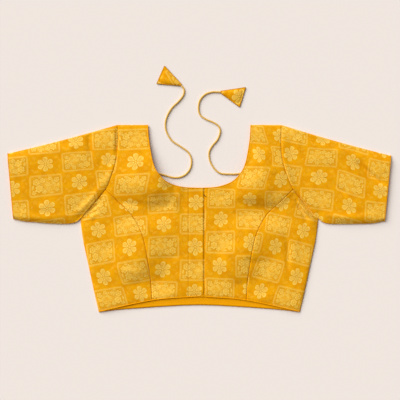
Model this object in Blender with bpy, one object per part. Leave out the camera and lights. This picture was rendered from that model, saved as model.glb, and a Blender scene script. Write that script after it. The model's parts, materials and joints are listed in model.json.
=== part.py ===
"""A choli blouse laid out flat, front up: princess-cut front, deep-necked back, short sleeves and neck ties.

Run it with blender --background --python part.py. The blouse lies on the plane z = 0, its neck towards +Y.
"left" is the garment's -X side. Sizes are in millimetres and become metres where a mesh is made.
"""

import math

import bmesh
import bpy

MM = 0.001

# Walls, gaps and heights
CLOTH = 1.5  # brocade and its lining, sewn as one
SEAM_GAP = 0.3
PIPING_RADIUS = 1.0
PRESSED_PIPING_RADIUS = CLOTH / 2  # piping that lies under the garment or round a cuff
HEM_INSET = 2 * PIPING_RADIUS + SEAM_GAP  # of the front's cloth from the outline, so that piping fits
LINING = 1.0
FRONT_BASE = CLOTH + SEAM_GAP  # where the front is sewn to the back
FRONT_RISE = 3.2  # how far the loose front stands off its closed edges
EDGE_SOFTNESS = 8.0  # over this distance from a closed edge
SLEEVE_RISE = 2.6
SLEEVE_FOLD = 4.0  # thickness over a sleeve's fold, two walls and the air in the bend

# Half outline of the body, as (x, y) from the shoulder down. The cloth and its piping fill it.
SHOULDER_Y = 180.5
ARMHOLE = [(158.5, SHOULDER_Y), (157.5, 141), (160.5, 112), (169.5, 82), (181, 56), (205, 26.5), (229.5, 0)]
PRINCESS_KNOT = 4  # the princess seam starts at this row of ARMHOLE
PRINCESS = [(181, 56), (156, 32), (134, 11.5), (119, -10), (109, -33), (102.5, -59), (97.5, -89),
            (93.5, -119)]
PRINCESS_HEM_X = 91
SIDE_SEAM = [(229.5, 0), (224.5, -40), (214, -89), (204.5, -134), (194, -180.5)]
FRONT_NECK = [(98.5, SHOULDER_Y), (97.5, 161), (95.5, 144.5), (92, 124), (88, 106.5), (81, 91), (68, 75.5),
              (52, 66.5), (30, 61), (0, 59.5)]
BACK_NECK = [(102.5, SHOULDER_Y), (102.5, 141), (102, 111), (100, 91), (96, 61), (88, 36), (72, 9),
             (45, -9), (0, -15)]
FRONT_HEM = [(0, -150.5), (29, -152.4), (60, -154.4), (91, -158.2), (122, -164), (153, -170.8), (194, -180.5)]
BACK_HEM = [(0, -167), (29, -167.6), (60, -169.3), (91, -171.2), (122, -173.4), (153, -175.9), (194, -180.5)]

# Placket: the hook strip is sewn to the left front and lies over the eye strip of the right front
HOOK_SEAM_X = -20.6
HOOK_EDGE_X = 8.2
RIGHT_FRONT_X = 10.4
EYE_STRIP_X = (-14.0, 16.0)
EYE_STRIP_DROP = CLOTH + 0.7  # below the underside of the right front
EYE_STRIP_INSET = 2.0  # from the neck and the hem
LINING_HALF_WIDTH = 183.0
LINING_DEPTH = 26.0
LINING_INSET = 1.0

# Sleeves, one row for each: side, top of the cuff, and the underarm seam from the cuff to the armhole
SLEEVES = {
    "left": {
        "side": -1,
        "cuff_top": (368.2, 125.5),
        "underarm": [(356.8, -1), (341, -5), (318, -7), (290, -9.4), (262, -10.3), (247, -9.4), (237, -6.5),
                     (229.5, 0)],
    },
    "right": {
        "side": 1,
        "cuff_top": (368.2, 121.5),
        "underarm": [(355.6, -5), (338, -8.8), (318, -10), (290, -10.5), (262, -10.5), (248, -9.8), (238, -7),
                     (229.5, 0)],
    },
}
TOP_FOLD_SAG = 1.8  # below a straight line from the cuff to the shoulder, in the middle
ARMHOLE_BLEND_START = 0.55  # from this share of its length on, a sleeve rises to meet the body
PUFF_SHAPE = 0.7  # a low power makes a sleeve full right to its folds
RING_CROWDING = 0.5
SEAM_END_PULL = 12  # a high power moves only the seam's last point onto the armhole

# Soft relief of the front on each side, humps and dents: centre, reach outward, inward, up and down from it,
# turn in degrees, and height. The first hump hangs from the neck, the next ones are the cup.
RELIEF = {
    "left": [
        {"at": (88, 66), "outward": 100, "inward": 52, "up": 104, "down": 50, "turn": 12, "height": 13.0},
        {"at": (82, 14), "outward": 52, "inward": 44, "up": 42, "down": 32, "turn": 12, "height": -3.0},
        {"at": (100, -34), "outward": 86, "inward": 78, "up": 48, "down": 62, "turn": -4, "height": 5.5},
        {"at": (112, -82), "outward": 84, "inward": 54, "up": 46, "down": 50, "turn": 0, "height": 6.5},
        {"at": (84, -132), "outward": 62, "inward": 42, "up": 36, "down": 28, "turn": 0, "height": -3.0},
    ],
    "right": [
        {"at": (110, 60), "outward": 78, "inward": 62, "up": 96, "down": 50, "turn": -4, "height": 13.0},
        {"at": (112, 4), "outward": 56, "inward": 54, "up": 42, "down": 32, "turn": -4, "height": -3.0},
        {"at": (98, -36), "outward": 84, "inward": 80, "up": 48, "down": 54, "turn": 4, "height": 5.8},
        {"at": (76, -78), "outward": 62, "inward": 52, "up": 44, "down": 50, "turn": 4, "height": 6.4},
        {"at": (94, -134), "outward": 60, "inward": 50, "up": 34, "down": 30, "turn": 0, "height": -3.0},
    ],
}

# Neck ties, as routes on the floor from the back neck's edge to the pendant
TIE_RADIUS = 1.65
TIE_LIFT = 0.1  # off the floor
TIE_STEP = 8.0
TIE_ROUTES = {
    "left": [(-99.6, 92.5), (-89, 89.5), (-78, 86.5), (-66, 83.5), (-52.6, 79.5), (-39, 79.5), (-26, 85.5),
             (-17, 98), (-15.3, 114.5), (-21.7, 128), (-34.8, 138), (-52.6, 150), (-63, 166.5), (-65.5, 182),
             (-62, 197.5), (-52.6, 213.5), (-39.3, 226.5), (-30.6, 238.5), (-29.6, 249.5), (-35.5, 257.3)],
    "right": [(99.6, 92.5), (90, 89), (80, 87), (69, 85.8), (58, 85.7), (41, 87.3), (29.4, 95.8), (20.6, 111),
              (18.8, 127), (25, 140), (35.5, 153), (40.3, 167.5), (37.2, 178), (27, 185.5), (14, 191),
              (2, 199.5), (-1.6, 213), (1.6, 228.5), (11.7, 239.5), (25, 244), (41.3, 243.8)],
}
# Pendants: the two far corners, the tie meets the near one
PENDANTS = {"left": [(-81.9, 260.2), (-67.1, 294.2)], "right": [(77.7, 215.4), (89.3, 252.7)]}
PENDANT_NECK = 3.6  # width and height of the corner that takes the tie
PENDANT_EDGE = 2.2
PENDANT_BULGE = 4.2
PENDANT_FULLNESS = 0.6  # a low power makes the pendant full right to its edges

# Grid counts
UPPER_ROWS, LOWER_ROWS = 12, 15  # of a centre front, above and below the princess seam's start
LOWER_ARMHOLE_ROWS = 5  # of a side front, the rest run down the side seam
CENTRE_COLUMNS, SIDE_COLUMNS, HOOK_COLUMNS, EYE_COLUMNS = 9, 6, 3, 2
PENDANT_ROWS, PENDANT_COLUMNS = 8, 6
SLEEVE_RINGS = 12
FOLD_STEPS = 4  # round a sleeve's fold
TIP_SHARE = 0.2  # a side front's tip starts this far down its first rows
SPAN_STEPS = 16  # fine points between two knots of a curve

# Colours as linear RGB
BROCADE = {"name": "brocade", "colour": (0.78, 0.42, 0.03, 1), "roughness": 0.5, "metallic": 0.15}
PLAIN = {"name": "plain_cloth", "colour": (0.83, 0.38, 0.01, 1), "roughness": 0.65, "metallic": 0.0}


class Curve:
    """A smooth curve through knots, read off at even distances."""

    def __init__(self, knots):
        self.fine, self.knot_at = [], []
        padded = [knots[0], *knots, knots[-1]]
        for before, start, end, after in zip(padded, padded[1:], padded[2:], padded[3:]):
            self.knot_at.append(len(self.fine))
            for step in range(SPAN_STEPS):
                self.fine.append(catmull_rom(before, start, end, after, step / SPAN_STEPS))
        self.knot_at.append(len(self.fine))
        self.fine.append(knots[-1])
        self.along = [0.0]
        for a, b in zip(self.fine, self.fine[1:]):
            self.along.append(self.along[-1] + math.dist(a, b))

    def between(self, first_knot, last_knot, steps):
        """steps + 1 points, evenly spaced from one knot to another."""
        low = self.along[self.knot_at[first_knot]]
        high = self.along[self.knot_at[last_knot]]
        return [self.at(low + (high - low) * i / steps) for i in range(steps + 1)]

    def points(self, steps):
        return self.between(0, -1, steps)

    def at(self, distance):
        i = 1
        while i < len(self.along) - 1 and self.along[i] < distance:
            i += 1
        span = self.along[i] - self.along[i - 1]
        return mix(self.fine[i - 1], self.fine[i], (distance - self.along[i - 1]) / span)

    def height_at(self, x):
        """y where the curve, read as a function of x, passes x."""
        for a, b in zip(self.fine, self.fine[1:]):
            if min(a[0], b[0]) <= x <= max(a[0], b[0]) and a[0] != b[0]:
                return mix(a, b, (x - a[0]) / (b[0] - a[0]))[1]
        return self.fine[-1][1]


def catmull_rom(before, start, end, after, t):
    def one(p, a, b, q):
        return 0.5 * (2 * a + (b - p) * t + (2 * p - 5 * a + 4 * b - q) * t**2 + (3 * (a - b) + q - p) * t**3)

    return tuple(one(*values) for values in zip(before, start, end, after))


def mix(a, b, share):
    return tuple(p + (q - p) * share for p, q in zip(a, b))


def moved_out(points, distance):
    """A line moved sideways, to the left of its direction if the distance is positive."""
    moved = []
    for i, (x, y) in enumerate(points):
        ahead = points[min(i + 1, len(points) - 1)]
        behind = points[max(i - 1, 0)]
        long = math.dist(ahead, behind)
        across = (behind[1] - ahead[1]) / long, (ahead[0] - behind[0]) / long
        moved.append((x + across[0] * distance, y + across[1] * distance))
    return moved


def mirrored(points, side):
    return [(side * x, y) for x, y in points]


def bump(x, y, at, outward, inward, up, down, turn, height):
    """A smooth hump or dent with its own reach on each side, which ends there with no slope."""
    angle = math.radians(turn)
    dx, dy = x - at[0], y - at[1]
    along = dx * math.cos(angle) + dy * math.sin(angle)
    across = dy * math.cos(angle) - dx * math.sin(angle)
    u = along / (outward if along > 0 else inward)
    v = across / (up if across > 0 else down)
    inside = 1 - u * u - v * v
    return height * inside**2 if inside > 0 else 0.0


def softened(distance):
    return 1 - math.exp(-max(distance, 0) / EDGE_SOFTNESS)


def front_height(x, y):
    """Height of the front's underside: low where it is sewn to the back, raised over the cups."""
    side = "left" if x < 0 else "right"
    x = abs(x)
    (x0, y0), (x1, y1) = SIDE_SEAM[0], SIDE_SEAM[-1]
    from_side = ((x0 - x) * (y0 - y1) - (y0 - y) * (x0 - x1)) / math.dist(SIDE_SEAM[0], SIDE_SEAM[-1])
    from_shoulder = SHOULDER_Y - y
    closed = softened(from_side) * softened(from_shoulder)
    relief = sum(bump(x, y, **row) for row in RELIEF[side])
    return FRONT_BASE + FRONT_RISE * closed + relief * softened(from_side)


def material(look):
    found = bpy.data.materials.get(look["name"])
    if found:
        return found
    made = bpy.data.materials.new(look["name"])
    made.use_nodes = True
    shader = made.node_tree.nodes["Principled BSDF"]
    shader.inputs["Base Color"].default_value = look["colour"]
    shader.inputs["Roughness"].default_value = look["roughness"]
    shader.inputs["Metallic"].default_value = look["metallic"]
    made.diffuse_color = look["colour"]
    return made


def placed(name, data, look):
    """Makes the object that becomes a node."""
    made = bpy.data.objects.new(name, data)
    data.materials.append(material(look))
    BLOUSE.objects.link(made)
    return made


def mesh_object(name, shape, look):
    bmesh.ops.recalc_face_normals(shape, faces=shape.faces)
    data = bpy.data.meshes.new(name)
    shape.to_mesh(data)
    shape.free()
    data.shade_smooth()
    data.set_sharp_from_angle(angle=math.radians(50))
    return placed(name, data, look)


def slab(name, low, high, look):
    """A solid between two grids of points, each a list of rows: an underside and a top over it."""
    rows, columns = len(low) - 1, len(low[0]) - 1
    shape = bmesh.new()
    bmesh.ops.create_grid(shape, x_segments=columns, y_segments=rows, size=1)
    shape.verts.ensure_lookup_table()
    under = list(shape.verts)
    extruded = bmesh.ops.extrude_face_region(shape, geom=list(shape.faces), use_keep_orig=True)
    over = [v for v in extruded["geom"] if isinstance(v, bmesh.types.BMVert)]
    over_of = {(round(v.co.x, 4), round(v.co.y, 4)): v for v in over}
    for vertex in under:
        row, column = grid_place(vertex.co, rows, columns)
        twin = over_of[(round(vertex.co.x, 4), round(vertex.co.y, 4))]
        vertex.co = [value * MM for value in low[row][column]]
        twin.co = [value * MM for value in high[row][column]]
    return mesh_object(name, shape, look)


def grid_place(point, rows, columns):
    """Row and column of a vertex of a fresh grid, which runs from -1 to 1 both ways."""
    return round((point.y + 1) / 2 * rows), round((point.x + 1) / 2 * columns)


def raised(grid, thickness):
    return [[(x, y, z + thickness) for x, y, z in row] for row in grid]


def spread(starts, ends, columns, height, hem):
    """Rows of points, each from a start to an end. The rows bend until the last one lies on the hem."""
    last_row = [mix(starts[-1], ends[-1], j / columns) for j in range(columns + 1)]
    bends = [hem(x) - y for x, y in last_row] if hem else [0.0] * (columns + 1)
    grid = []
    for i, (start, end) in enumerate(zip(starts, ends)):
        share = (i / (len(starts) - 1)) ** 4
        row = [mix(start, end, j / columns) for j in range(columns + 1)]
        row = [(x, y + bend * share) for (x, y), bend in zip(row, bends)]
        grid.append([(x, y, height(x, y)) for x, y in row])
    return grid


def cloth_panel(name, starts, ends, columns, height=front_height, thickness=CLOTH, look=BROCADE, hem=None):
    grid = spread(starts, ends, columns, height, hem)
    return slab(name, grid, raised(grid, thickness), look)


def tube(name, line, radius, look, resolution=1, cyclic=False):
    """A round cord along points, as a curve with a bevel and filled caps."""
    data = bpy.data.curves.new(name, "CURVE")
    data.dimensions = "3D"
    data.bevel_depth = radius * MM
    data.bevel_resolution = resolution
    data.use_fill_caps = True
    spline = data.splines.new("POLY")
    spline.points.add(len(line) - 1)
    spline.use_cyclic_u = cyclic
    for point, place in zip(spline.points, line):
        point.co = (*(value * MM for value in place), 1)
    return placed(name, data, look)


def flat_piece(name, outline, bottom, thickness, look):
    """A flat panel: a filled outline with a thickness."""
    data = bpy.data.curves.new(name, "CURVE")
    data.dimensions = "2D"
    data.fill_mode = "BOTH"
    data.extrude = thickness / 2 * MM
    spline = data.splines.new("POLY")
    spline.points.add(len(outline) - 1)
    spline.use_cyclic_u = True
    for point, (x, y) in zip(spline.points, outline):
        point.co = (x * MM, y * MM, 0, 1)
    made = placed(name, data, look)
    made.location.z = (bottom + thickness / 2) * MM
    return made


def inset_neck(knots, steps, radius, first_x):
    """(middle of the piping, edge of the cloth) of a half neckline, from the shoulder to x = first_x."""
    outline = Curve(knots)
    whole = [p for p in outline.fine if p[0] > first_x] + [(first_x, outline.height_at(first_x))]
    even = Curve(whole).points(steps)
    piping = moved_out(even, radius)
    cloth = moved_out(even, 2 * radius + SEAM_GAP)
    for line in (piping, cloth):
        line[0] = (line[0][0], SHOULDER_Y)
        line[-1] = (first_x, line[-1][1])
    return piping, cloth


def hem_line(raise_by):
    """y of the front's hem at any x, raised from the outline, as a function."""
    curve = Curve(FRONT_HEM)
    return lambda x: curve.height_at(abs(x)) + raise_by


def seam_lines():
    """The seams that panels share, as points of the right half, so that neighbours meet point for point."""
    armhole = Curve(ARMHOLE)
    upper = armhole.between(0, PRINCESS_KNOT, UPPER_ROWS)
    lower = armhole.between(PRINCESS_KNOT, -1, LOWER_ARMHOLE_ROWS)
    hem_y = Curve(FRONT_HEM).height_at(PRINCESS_HEM_X) + HEM_INSET
    princess = Curve([*PRINCESS, (PRINCESS_HEM_X, hem_y)]).points(LOWER_ROWS)
    hem_corner_y = SIDE_SEAM[-1][1] + HEM_INSET
    side = Curve([*SIDE_SEAM[:-1], (SIDE_SEAM[-1][0], hem_corner_y)]).points(LOWER_ROWS - LOWER_ARMHOLE_ROWS)
    return upper, lower, princess, side


def front_panels(name, side, front_x):
    """The centre and side front of one half. front_x is where the centre front ends in the middle."""
    upper, lower, princess, side_seam = seam_lines()
    half = SEAM_GAP / 2
    hem = hem_line(HEM_INSET)
    _, neck = inset_neck(FRONT_NECK, UPPER_ROWS, PIPING_RADIUS, side * front_x)
    middle = [(side * front_x, y) for y in even_steps(neck[-1][1], hem(front_x), LOWER_ROWS)]
    inner_edge = neck + middle[1:]
    corner = (upper[-1][0] - half, upper[-1][1])
    outer_edge = moved_out(upper, -half)[:-1] + [corner] + moved_out(princess, -half)[1:]
    placed_edges = mirrored(outer_edge, side), mirrored(inner_edge, side)
    cloth_panel(f"front_centre_{name}", *placed_edges, CENTRE_COLUMNS, hem=hem)
    tip_in = mix(princess[0], princess[1], TIP_SHARE)
    tip_out = mix(lower[0], lower[1], TIP_SHARE)
    inner_seam = moved_out([tip_in, *princess[1:]], half)
    outer_seam = moved_out([tip_out, *lower[1:]], -half) + moved_out(side_seam, -half)[1:]
    placed_edges = mirrored(outer_seam, side), mirrored(inner_seam, side)
    cloth_panel(f"front_side_{name}", *placed_edges, SIDE_COLUMNS, hem=hem)


def even_steps(start, end, steps):
    return [start + (end - start) * i / steps for i in range(steps + 1)]


def plackets():
    """The hook strip over the opening and the eye strip under it."""
    _, neck = inset_neck(FRONT_NECK, UPPER_ROWS, PIPING_RADIUS, 0.0)
    top_y = neck[-1][1]
    hem = hem_line(HEM_INSET)
    left_x, right_x = HOOK_SEAM_X + SEAM_GAP, HOOK_EDGE_X
    left = [(left_x, y) for y in even_steps(top_y, hem(left_x), LOWER_ROWS)]
    right = [(right_x, y) for y in even_steps(top_y, hem(right_x), LOWER_ROWS)]
    cloth_panel("hook_placket", left, right, HOOK_COLUMNS, hem=hem)
    low_x, high_x = EYE_STRIP_X
    ys = even_steps(top_y - EYE_STRIP_INSET, hem(0) + EYE_STRIP_INSET, LOWER_ROWS)
    left, right = [(low_x, y) for y in ys], [(high_x, y) for y in ys]
    cloth_panel("eye_placket", left, right, EYE_COLUMNS, height=eye_strip_height)


def eye_strip_height(x, y):
    return front_height(x, y) - EYE_STRIP_DROP


def front_piping():
    """Piping round the front's neck and hem, in a left and a right length each."""
    hem = hem_line(PIPING_RADIUS)
    middle_ends = (("left", -1, -HOOK_SEAM_X, -HOOK_EDGE_X), ("right", 1, RIGHT_FRONT_X, None))
    for name, side, start_x, end_x in middle_ends:
        line, _ = inset_neck(FRONT_NECK, UPPER_ROWS, PIPING_RADIUS, start_x)
        if end_x is not None:
            line += [(0.0, inset_neck(FRONT_NECK, UPPER_ROWS, PIPING_RADIUS, 0.0)[0][-1][1])]
            line += [(end_x, line[-1][1])]
        tube(f"neck_piping_{name}", on_the_front(mirrored(line, side)), PIPING_RADIUS, PLAIN)
        xs = even_steps(SIDE_SEAM[-1][0] - 0.5, line[-1][0], LOWER_ROWS)
        hem_points = [(x, hem(x)) for x in xs]
        tube(f"hem_piping_{name}", on_the_front(mirrored(hem_points, side)), PIPING_RADIUS, PLAIN)


def on_the_front(line):
    """Points level with the middle of the front's wall."""
    return [(x, y, front_height(x, y) + CLOTH / 2) for x, y in line]


def back():
    """The back, flat on the floor, its neck piping, and the strip of lining that shows below the front."""
    upper, lower, _, side_seam = seam_lines()
    half = SEAM_GAP / 2
    piping, neck = inset_neck(BACK_NECK, 2 * UPPER_ROWS, PRESSED_PIPING_RADIUS, 0.0)
    hem = Curve(BACK_HEM)
    armhole = moved_out(upper + lower[1:], -half)
    hem_points = hem.points(LOWER_ROWS)
    right = neck[::-1] + armhole[:-1] + side_seam[:-1] + hem_points[::-1]
    outline = right + mirrored(right[::-1], -1)
    outline = [p for p, q in zip(outline, outline[1:] + outline[:1]) if math.dist(p, q) > SEAM_GAP]
    flat_piece("back", outline, 0, CLOTH, BROCADE)
    neck_line = [(x, y, PRESSED_PIPING_RADIUS) for x, y in piping + mirrored(piping[::-1], -1)[1:]]
    tube("neck_piping_back", neck_line, PRESSED_PIPING_RADIUS, PLAIN)
    xs = even_steps(-LINING_HALF_WIDTH, LINING_HALF_WIDTH, 2 * LOWER_ROWS)
    low = [(x, hem.height_at(abs(x)) + LINING_INSET) for x in xs]
    high = [(x, y + LINING_DEPTH) for x, y in low]
    cloth_panel("back_hem_lining", low, high, 1, height=lining_height, thickness=LINING, look=PLAIN)


def lining_height(_x, _y):
    return FRONT_BASE


def sleeve(name, side, cuff_top, underarm):
    """A flattened tube from the cuff to the armhole, with its piping."""
    upper, lower, _, _ = seam_lines()
    armhole = moved_out(upper + lower[1:], SEAM_GAP / 2)
    seam = Curve(underarm)
    cuff_bottom = underarm[0]
    outer, inner, middle = [], [], []
    for i in range(SLEEVE_RINGS + 1):
        share = ring_share(i)
        line = sleeve_line(armhole, cuff_top, seam, share)
        tops = sleeve_tops(line, smooth_step((share - ARMHOLE_BLEND_START) / (1 - ARMHOLE_BLEND_START)))
        outer.append(loop_round(line, tops, 0.0))
        inner.append(loop_round(line, tops, CLOTH))
        middle.append(loop_round(line, tops, CLOTH / 2))
    flip = [[(side * x, y, z) for x, y, z in ring] for ring in outer]
    flip_inner = [[(side * x, y, z) for x, y, z in ring] for ring in inner]
    hollow_tube(f"sleeve_{name}", flip, flip_inner, BROCADE)
    away = (cuff_top[1] - cuff_bottom[1], cuff_bottom[0] - cuff_top[0])
    scale = (PRESSED_PIPING_RADIUS + SEAM_GAP) / math.hypot(*away)
    cuff = [(side * (x + away[0] * scale), y + away[1] * scale, z) for x, y, z in middle[0]]
    tube(f"cuff_piping_{name}", cuff, PRESSED_PIPING_RADIUS, PLAIN, cyclic=True)


def smooth_step(t):
    t = min(max(t, 0.0), 1.0)
    return t * t * (3 - 2 * t)


def ring_share(i):
    """Share of a sleeve's length at each ring. The last rings lie closer, where the underarm seam turns."""
    even = i / SLEEVE_RINGS
    return even + RING_CROWDING * even * (1 - even)


def sleeve_line(armhole, cuff_top, seam, t):
    """The line across a sleeve at share t from the cuff to the armhole, in plan."""
    along = [0.0]
    for a, b in zip(armhole, armhole[1:]):
        along.append(along[-1] + math.dist(a, b))
    cuff_bottom = seam.fine[0]
    top_middle = mix(cuff_top, armhole[0], 0.5)
    top = curved(cuff_top, (top_middle[0], top_middle[1] - TOP_FOLD_SAG), armhole[0], t)
    bottom = mix(seam.at(seam.along[-1] * t), armhole[-1], t**SEAM_END_PULL)
    straight_top, straight_bottom = mix(cuff_top, armhole[0], t), mix(cuff_bottom, armhole[-1], t)
    line = []
    for seam_point, distance in zip(armhole, along):
        s = distance / along[-1]
        ruled = mix(mix(cuff_top, cuff_bottom, s), seam_point, t)
        shift_top = (top[0] - straight_top[0], top[1] - straight_top[1])
        shift_bottom = (bottom[0] - straight_bottom[0], bottom[1] - straight_bottom[1])
        shift = mix(shift_top, shift_bottom, s)
        line.append((ruled[0] + shift[0], ruled[1] + shift[1]))
    return line


def curved(start, middle, end, t):
    """A point on the parabola through three points."""
    control = tuple(2 * m - (a + b) / 2 for a, m, b in zip(start, middle, end))
    return mix(mix(start, control, t), mix(control, end, t), t)


def sleeve_tops(line, near_armhole):
    """Height of the upper layer's outside at each point of a line across the sleeve."""
    tops = []
    last = len(line) - 1
    for j, (x, y) in enumerate(line):
        puff = math.sin(math.pi * j / last) ** PUFF_SHAPE if 0 < j < last else 0.0
        own = SLEEVE_FOLD + SLEEVE_RISE * puff
        body = max(front_height(x, y) + CLOTH, SLEEVE_FOLD)
        tops.append(own + (body - own) * near_armhole if 0 < j < last else SLEEVE_FOLD)
    return tops


def loop_round(line, tops, inset):
    """The closed loop round both layers of a sleeve, inset from the outside: over the top and back below."""
    radius = SLEEVE_FOLD / 2
    first = toward(line[0], line[1], radius)
    last = toward(line[-1], line[-2], radius)
    upper = [(*first, tops[0] - inset)]
    upper += [(x, y, top - inset) for (x, y), top in zip(line[1:-1], tops[1:-1])]
    upper += [(*last, tops[-1] - inset)]
    lower = [(x, y, inset) for x, y, _ in upper[::-1]]
    return upper + fold(last, line[-1], radius, inset, 1) + lower + fold(first, line[0], radius, inset, -1)


def toward(start, end, distance):
    return mix(start, end, distance / math.dist(start, end))


def fold(centre, edge, radius, inset, direction):
    """Points round a fold between the two layers. direction is 1 from top to floor, -1 from floor to top."""
    points = []
    for step in range(1, FOLD_STEPS):
        angle = direction * (math.pi / 2 - math.pi * step / FOLD_STEPS)
        x, y = mix(centre, edge, math.cos(angle) * (radius - inset) / radius)
        points.append((x, y, radius + math.sin(angle) * (radius - inset)))
    return points


def hollow_tube(name, outer, inner, look):
    """A tube with a wall: loops of the outside and of the inside, joined at both open ends."""
    shape = bmesh.new()
    count = len(outer[0])
    skins = []
    for skin in (outer, inner):
        skins.append([[shape.verts.new([v * MM for v in point]) for point in ring] for ring in skin])
    for skin in skins:
        for ring, following in zip(skin, skin[1:]):
            for j in range(count):
                k = (j + 1) % count
                shape.faces.new((ring[j], ring[k], following[k], following[j]))
    for end in (0, -1):
        for j in range(count):
            k = (j + 1) % count
            shape.faces.new((skins[0][end][j], skins[0][end][k], skins[1][end][k], skins[1][end][j]))
    return mesh_object(name, shape, look)


def tie(name, route, far_corners):
    """A neck tie on the floor and the folded triangle of cloth at its end."""
    curve = Curve(route)
    steps = round(curve.along[-1] / TIE_STEP)
    middle = [(x, y, TIE_RADIUS + TIE_LIFT) for x, y in curve.points(steps)]
    tube(f"tie_{name}", middle, TIE_RADIUS, PLAIN, resolution=2)
    end, before = route[-1], curve.at(curve.along[-1] - TIE_STEP)
    heading = toward(end, before, -SEAM_GAP)
    across = ((end[1] - before[1]), -(end[0] - before[0]))
    scale = PENDANT_NECK / 2 / math.hypot(*across)
    near = [(heading[0] + s * across[0] * scale, heading[1] + s * across[1] * scale) for s in (-1, 1)]
    pendant(f"pendant_{name}", near, far_corners)


def pendant(name, near, far):
    """A stuffed triangle: flat below, swelling from thin edges."""
    rows, columns = PENDANT_ROWS, PENDANT_COLUMNS
    if crosses(near[0], far[0], near[1], far[1]):
        near = near[::-1]
    low, high = [], []
    for i in range(rows + 1):
        v = i / rows
        start, end = mix(near[0], far[0], v), mix(near[1], far[1], v)
        edge = PENDANT_NECK + (PENDANT_EDGE - PENDANT_NECK) * min(1, 3 * v)
        line = [mix(start, end, j / columns) for j in range(columns + 1)]
        swell = [math.sin(math.pi * j / columns) * math.sin(math.pi * v) for j in range(columns + 1)]
        low.append([(x, y, 0.0) for x, y in line])
        tops = [edge + PENDANT_BULGE * max(s, 0) ** PENDANT_FULLNESS for s in swell]
        high.append([(x, y, top) for (x, y), top in zip(line, tops)])
    slab(name, low, high, BROCADE)


def crosses(a, b, c, d):
    """Whether the segments a-b and c-d cross."""

    def turn(p, q, r):
        return (q[0] - p[0]) * (r[1] - p[1]) - (q[1] - p[1]) * (r[0] - p[0])

    return turn(a, b, c) * turn(a, b, d) < 0 and turn(c, d, a) * turn(c, d, b) < 0


for old in list(bpy.data.objects):
    bpy.data.objects.remove(old)
BLOUSE = bpy.data.collections.new("choli_blouse")
bpy.context.scene.collection.children.link(BLOUSE)

back()
front_panels("left", -1, HOOK_SEAM_X)
front_panels("right", 1, RIGHT_FRONT_X)
plackets()
front_piping()
for sleeve_name, sizes in SLEEVES.items():
    sleeve(sleeve_name, **sizes)
for tie_name, tie_route in TIE_ROUTES.items():
    tie(tie_name, tie_route, PENDANTS[tie_name])
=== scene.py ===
"""The looks of a choli blouse laid out flat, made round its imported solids.

Sizes are in millimetres in the frame of the solids: z = 0 is what the blouse lies on, +Y is its neck end, and
"left" is its -X side. They become metres where a mesh is made. The cloth's form follows the same curves and
heights as the solids.
"""

import json
import math

import bmesh
import bpy
import numpy as np
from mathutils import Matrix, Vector

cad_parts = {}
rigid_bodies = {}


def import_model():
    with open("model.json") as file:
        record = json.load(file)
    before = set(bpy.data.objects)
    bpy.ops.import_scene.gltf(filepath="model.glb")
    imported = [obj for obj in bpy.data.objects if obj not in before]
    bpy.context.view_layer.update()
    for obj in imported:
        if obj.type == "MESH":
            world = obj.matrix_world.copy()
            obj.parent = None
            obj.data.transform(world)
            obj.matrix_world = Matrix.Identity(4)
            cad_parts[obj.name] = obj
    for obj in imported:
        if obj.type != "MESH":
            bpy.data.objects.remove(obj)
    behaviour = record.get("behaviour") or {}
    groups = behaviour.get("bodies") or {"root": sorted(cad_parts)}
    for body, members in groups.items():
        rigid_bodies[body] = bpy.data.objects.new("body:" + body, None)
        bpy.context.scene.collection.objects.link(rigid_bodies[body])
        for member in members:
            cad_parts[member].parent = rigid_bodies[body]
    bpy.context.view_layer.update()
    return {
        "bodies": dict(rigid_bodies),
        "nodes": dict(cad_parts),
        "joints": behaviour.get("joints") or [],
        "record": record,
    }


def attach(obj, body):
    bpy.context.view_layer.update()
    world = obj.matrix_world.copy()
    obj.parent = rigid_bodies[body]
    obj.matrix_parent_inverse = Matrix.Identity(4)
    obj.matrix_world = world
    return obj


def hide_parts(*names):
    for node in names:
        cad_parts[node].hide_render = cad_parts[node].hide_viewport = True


MM = 0.001

# -------------------------------------------------- sizes shared with the solids

CLOTH = 1.5
SEAM_GAP = 0.3
PIPING_RADIUS = 1.0
PRESSED_PIPING_RADIUS = CLOTH / 2
LINING = 1.0
FRONT_BASE = CLOTH + SEAM_GAP
LINING_TOP = FRONT_BASE + LINING + 0.15
FRONT_RISE = 3.2
EDGE_SOFTNESS = 8.0
SLEEVE_RISE = 2.6
SLEEVE_FOLD = 4.0

SHOULDER_Y = 180.5
ARMHOLE = [
    (158.5, SHOULDER_Y), (157.5, 141), (160.5, 112), (169.5, 82), (181, 56), (205, 26.5), (229.5, 0),
]
PRINCESS_KNOT = 4
PRINCESS = [
    (181, 56), (156, 32), (134, 11.5), (119, -10), (109, -33), (102.5, -59), (97.5, -89), (93.5, -119),
]
PRINCESS_HEM_X = 91
SIDE_SEAM = [
    (229.5, 0), (224.5, -40), (214, -89), (204.5, -134), (194, -180.5),
]
FRONT_NECK = [
    (98.5, SHOULDER_Y), (97.5, 161), (95.5, 144.5), (92, 124), (88, 106.5), (81, 91), (68, 75.5), (52, 66.5),
    (30, 61), (0, 59.5),
]
BACK_NECK = [
    (102.5, SHOULDER_Y), (102.5, 141), (102, 111), (100, 91), (96, 61), (88, 36), (72, 9), (45, -9), (0, -15),
]
FRONT_HEM = [
    (0, -150.5), (29, -152.4), (60, -154.4), (91, -158.2), (122, -164), (153, -170.8), (194, -180.5),
]
BACK_HEM = [
    (0, -167), (29, -167.6), (60, -169.3), (91, -171.2), (122, -173.4), (153, -175.9), (194, -180.5),
]

HOOK_SEAM_X = -20.6
HOOK_EDGE_X = 8.2
RIGHT_FRONT_X = 10.4
EYE_STRIP_X = (-14.0, 16.0)
EYE_STRIP_DROP = 1.45
LINING_HALF_WIDTH = 183.0
LINING_DEPTH = 26.0
LINING_INSET = 1.0

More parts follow.
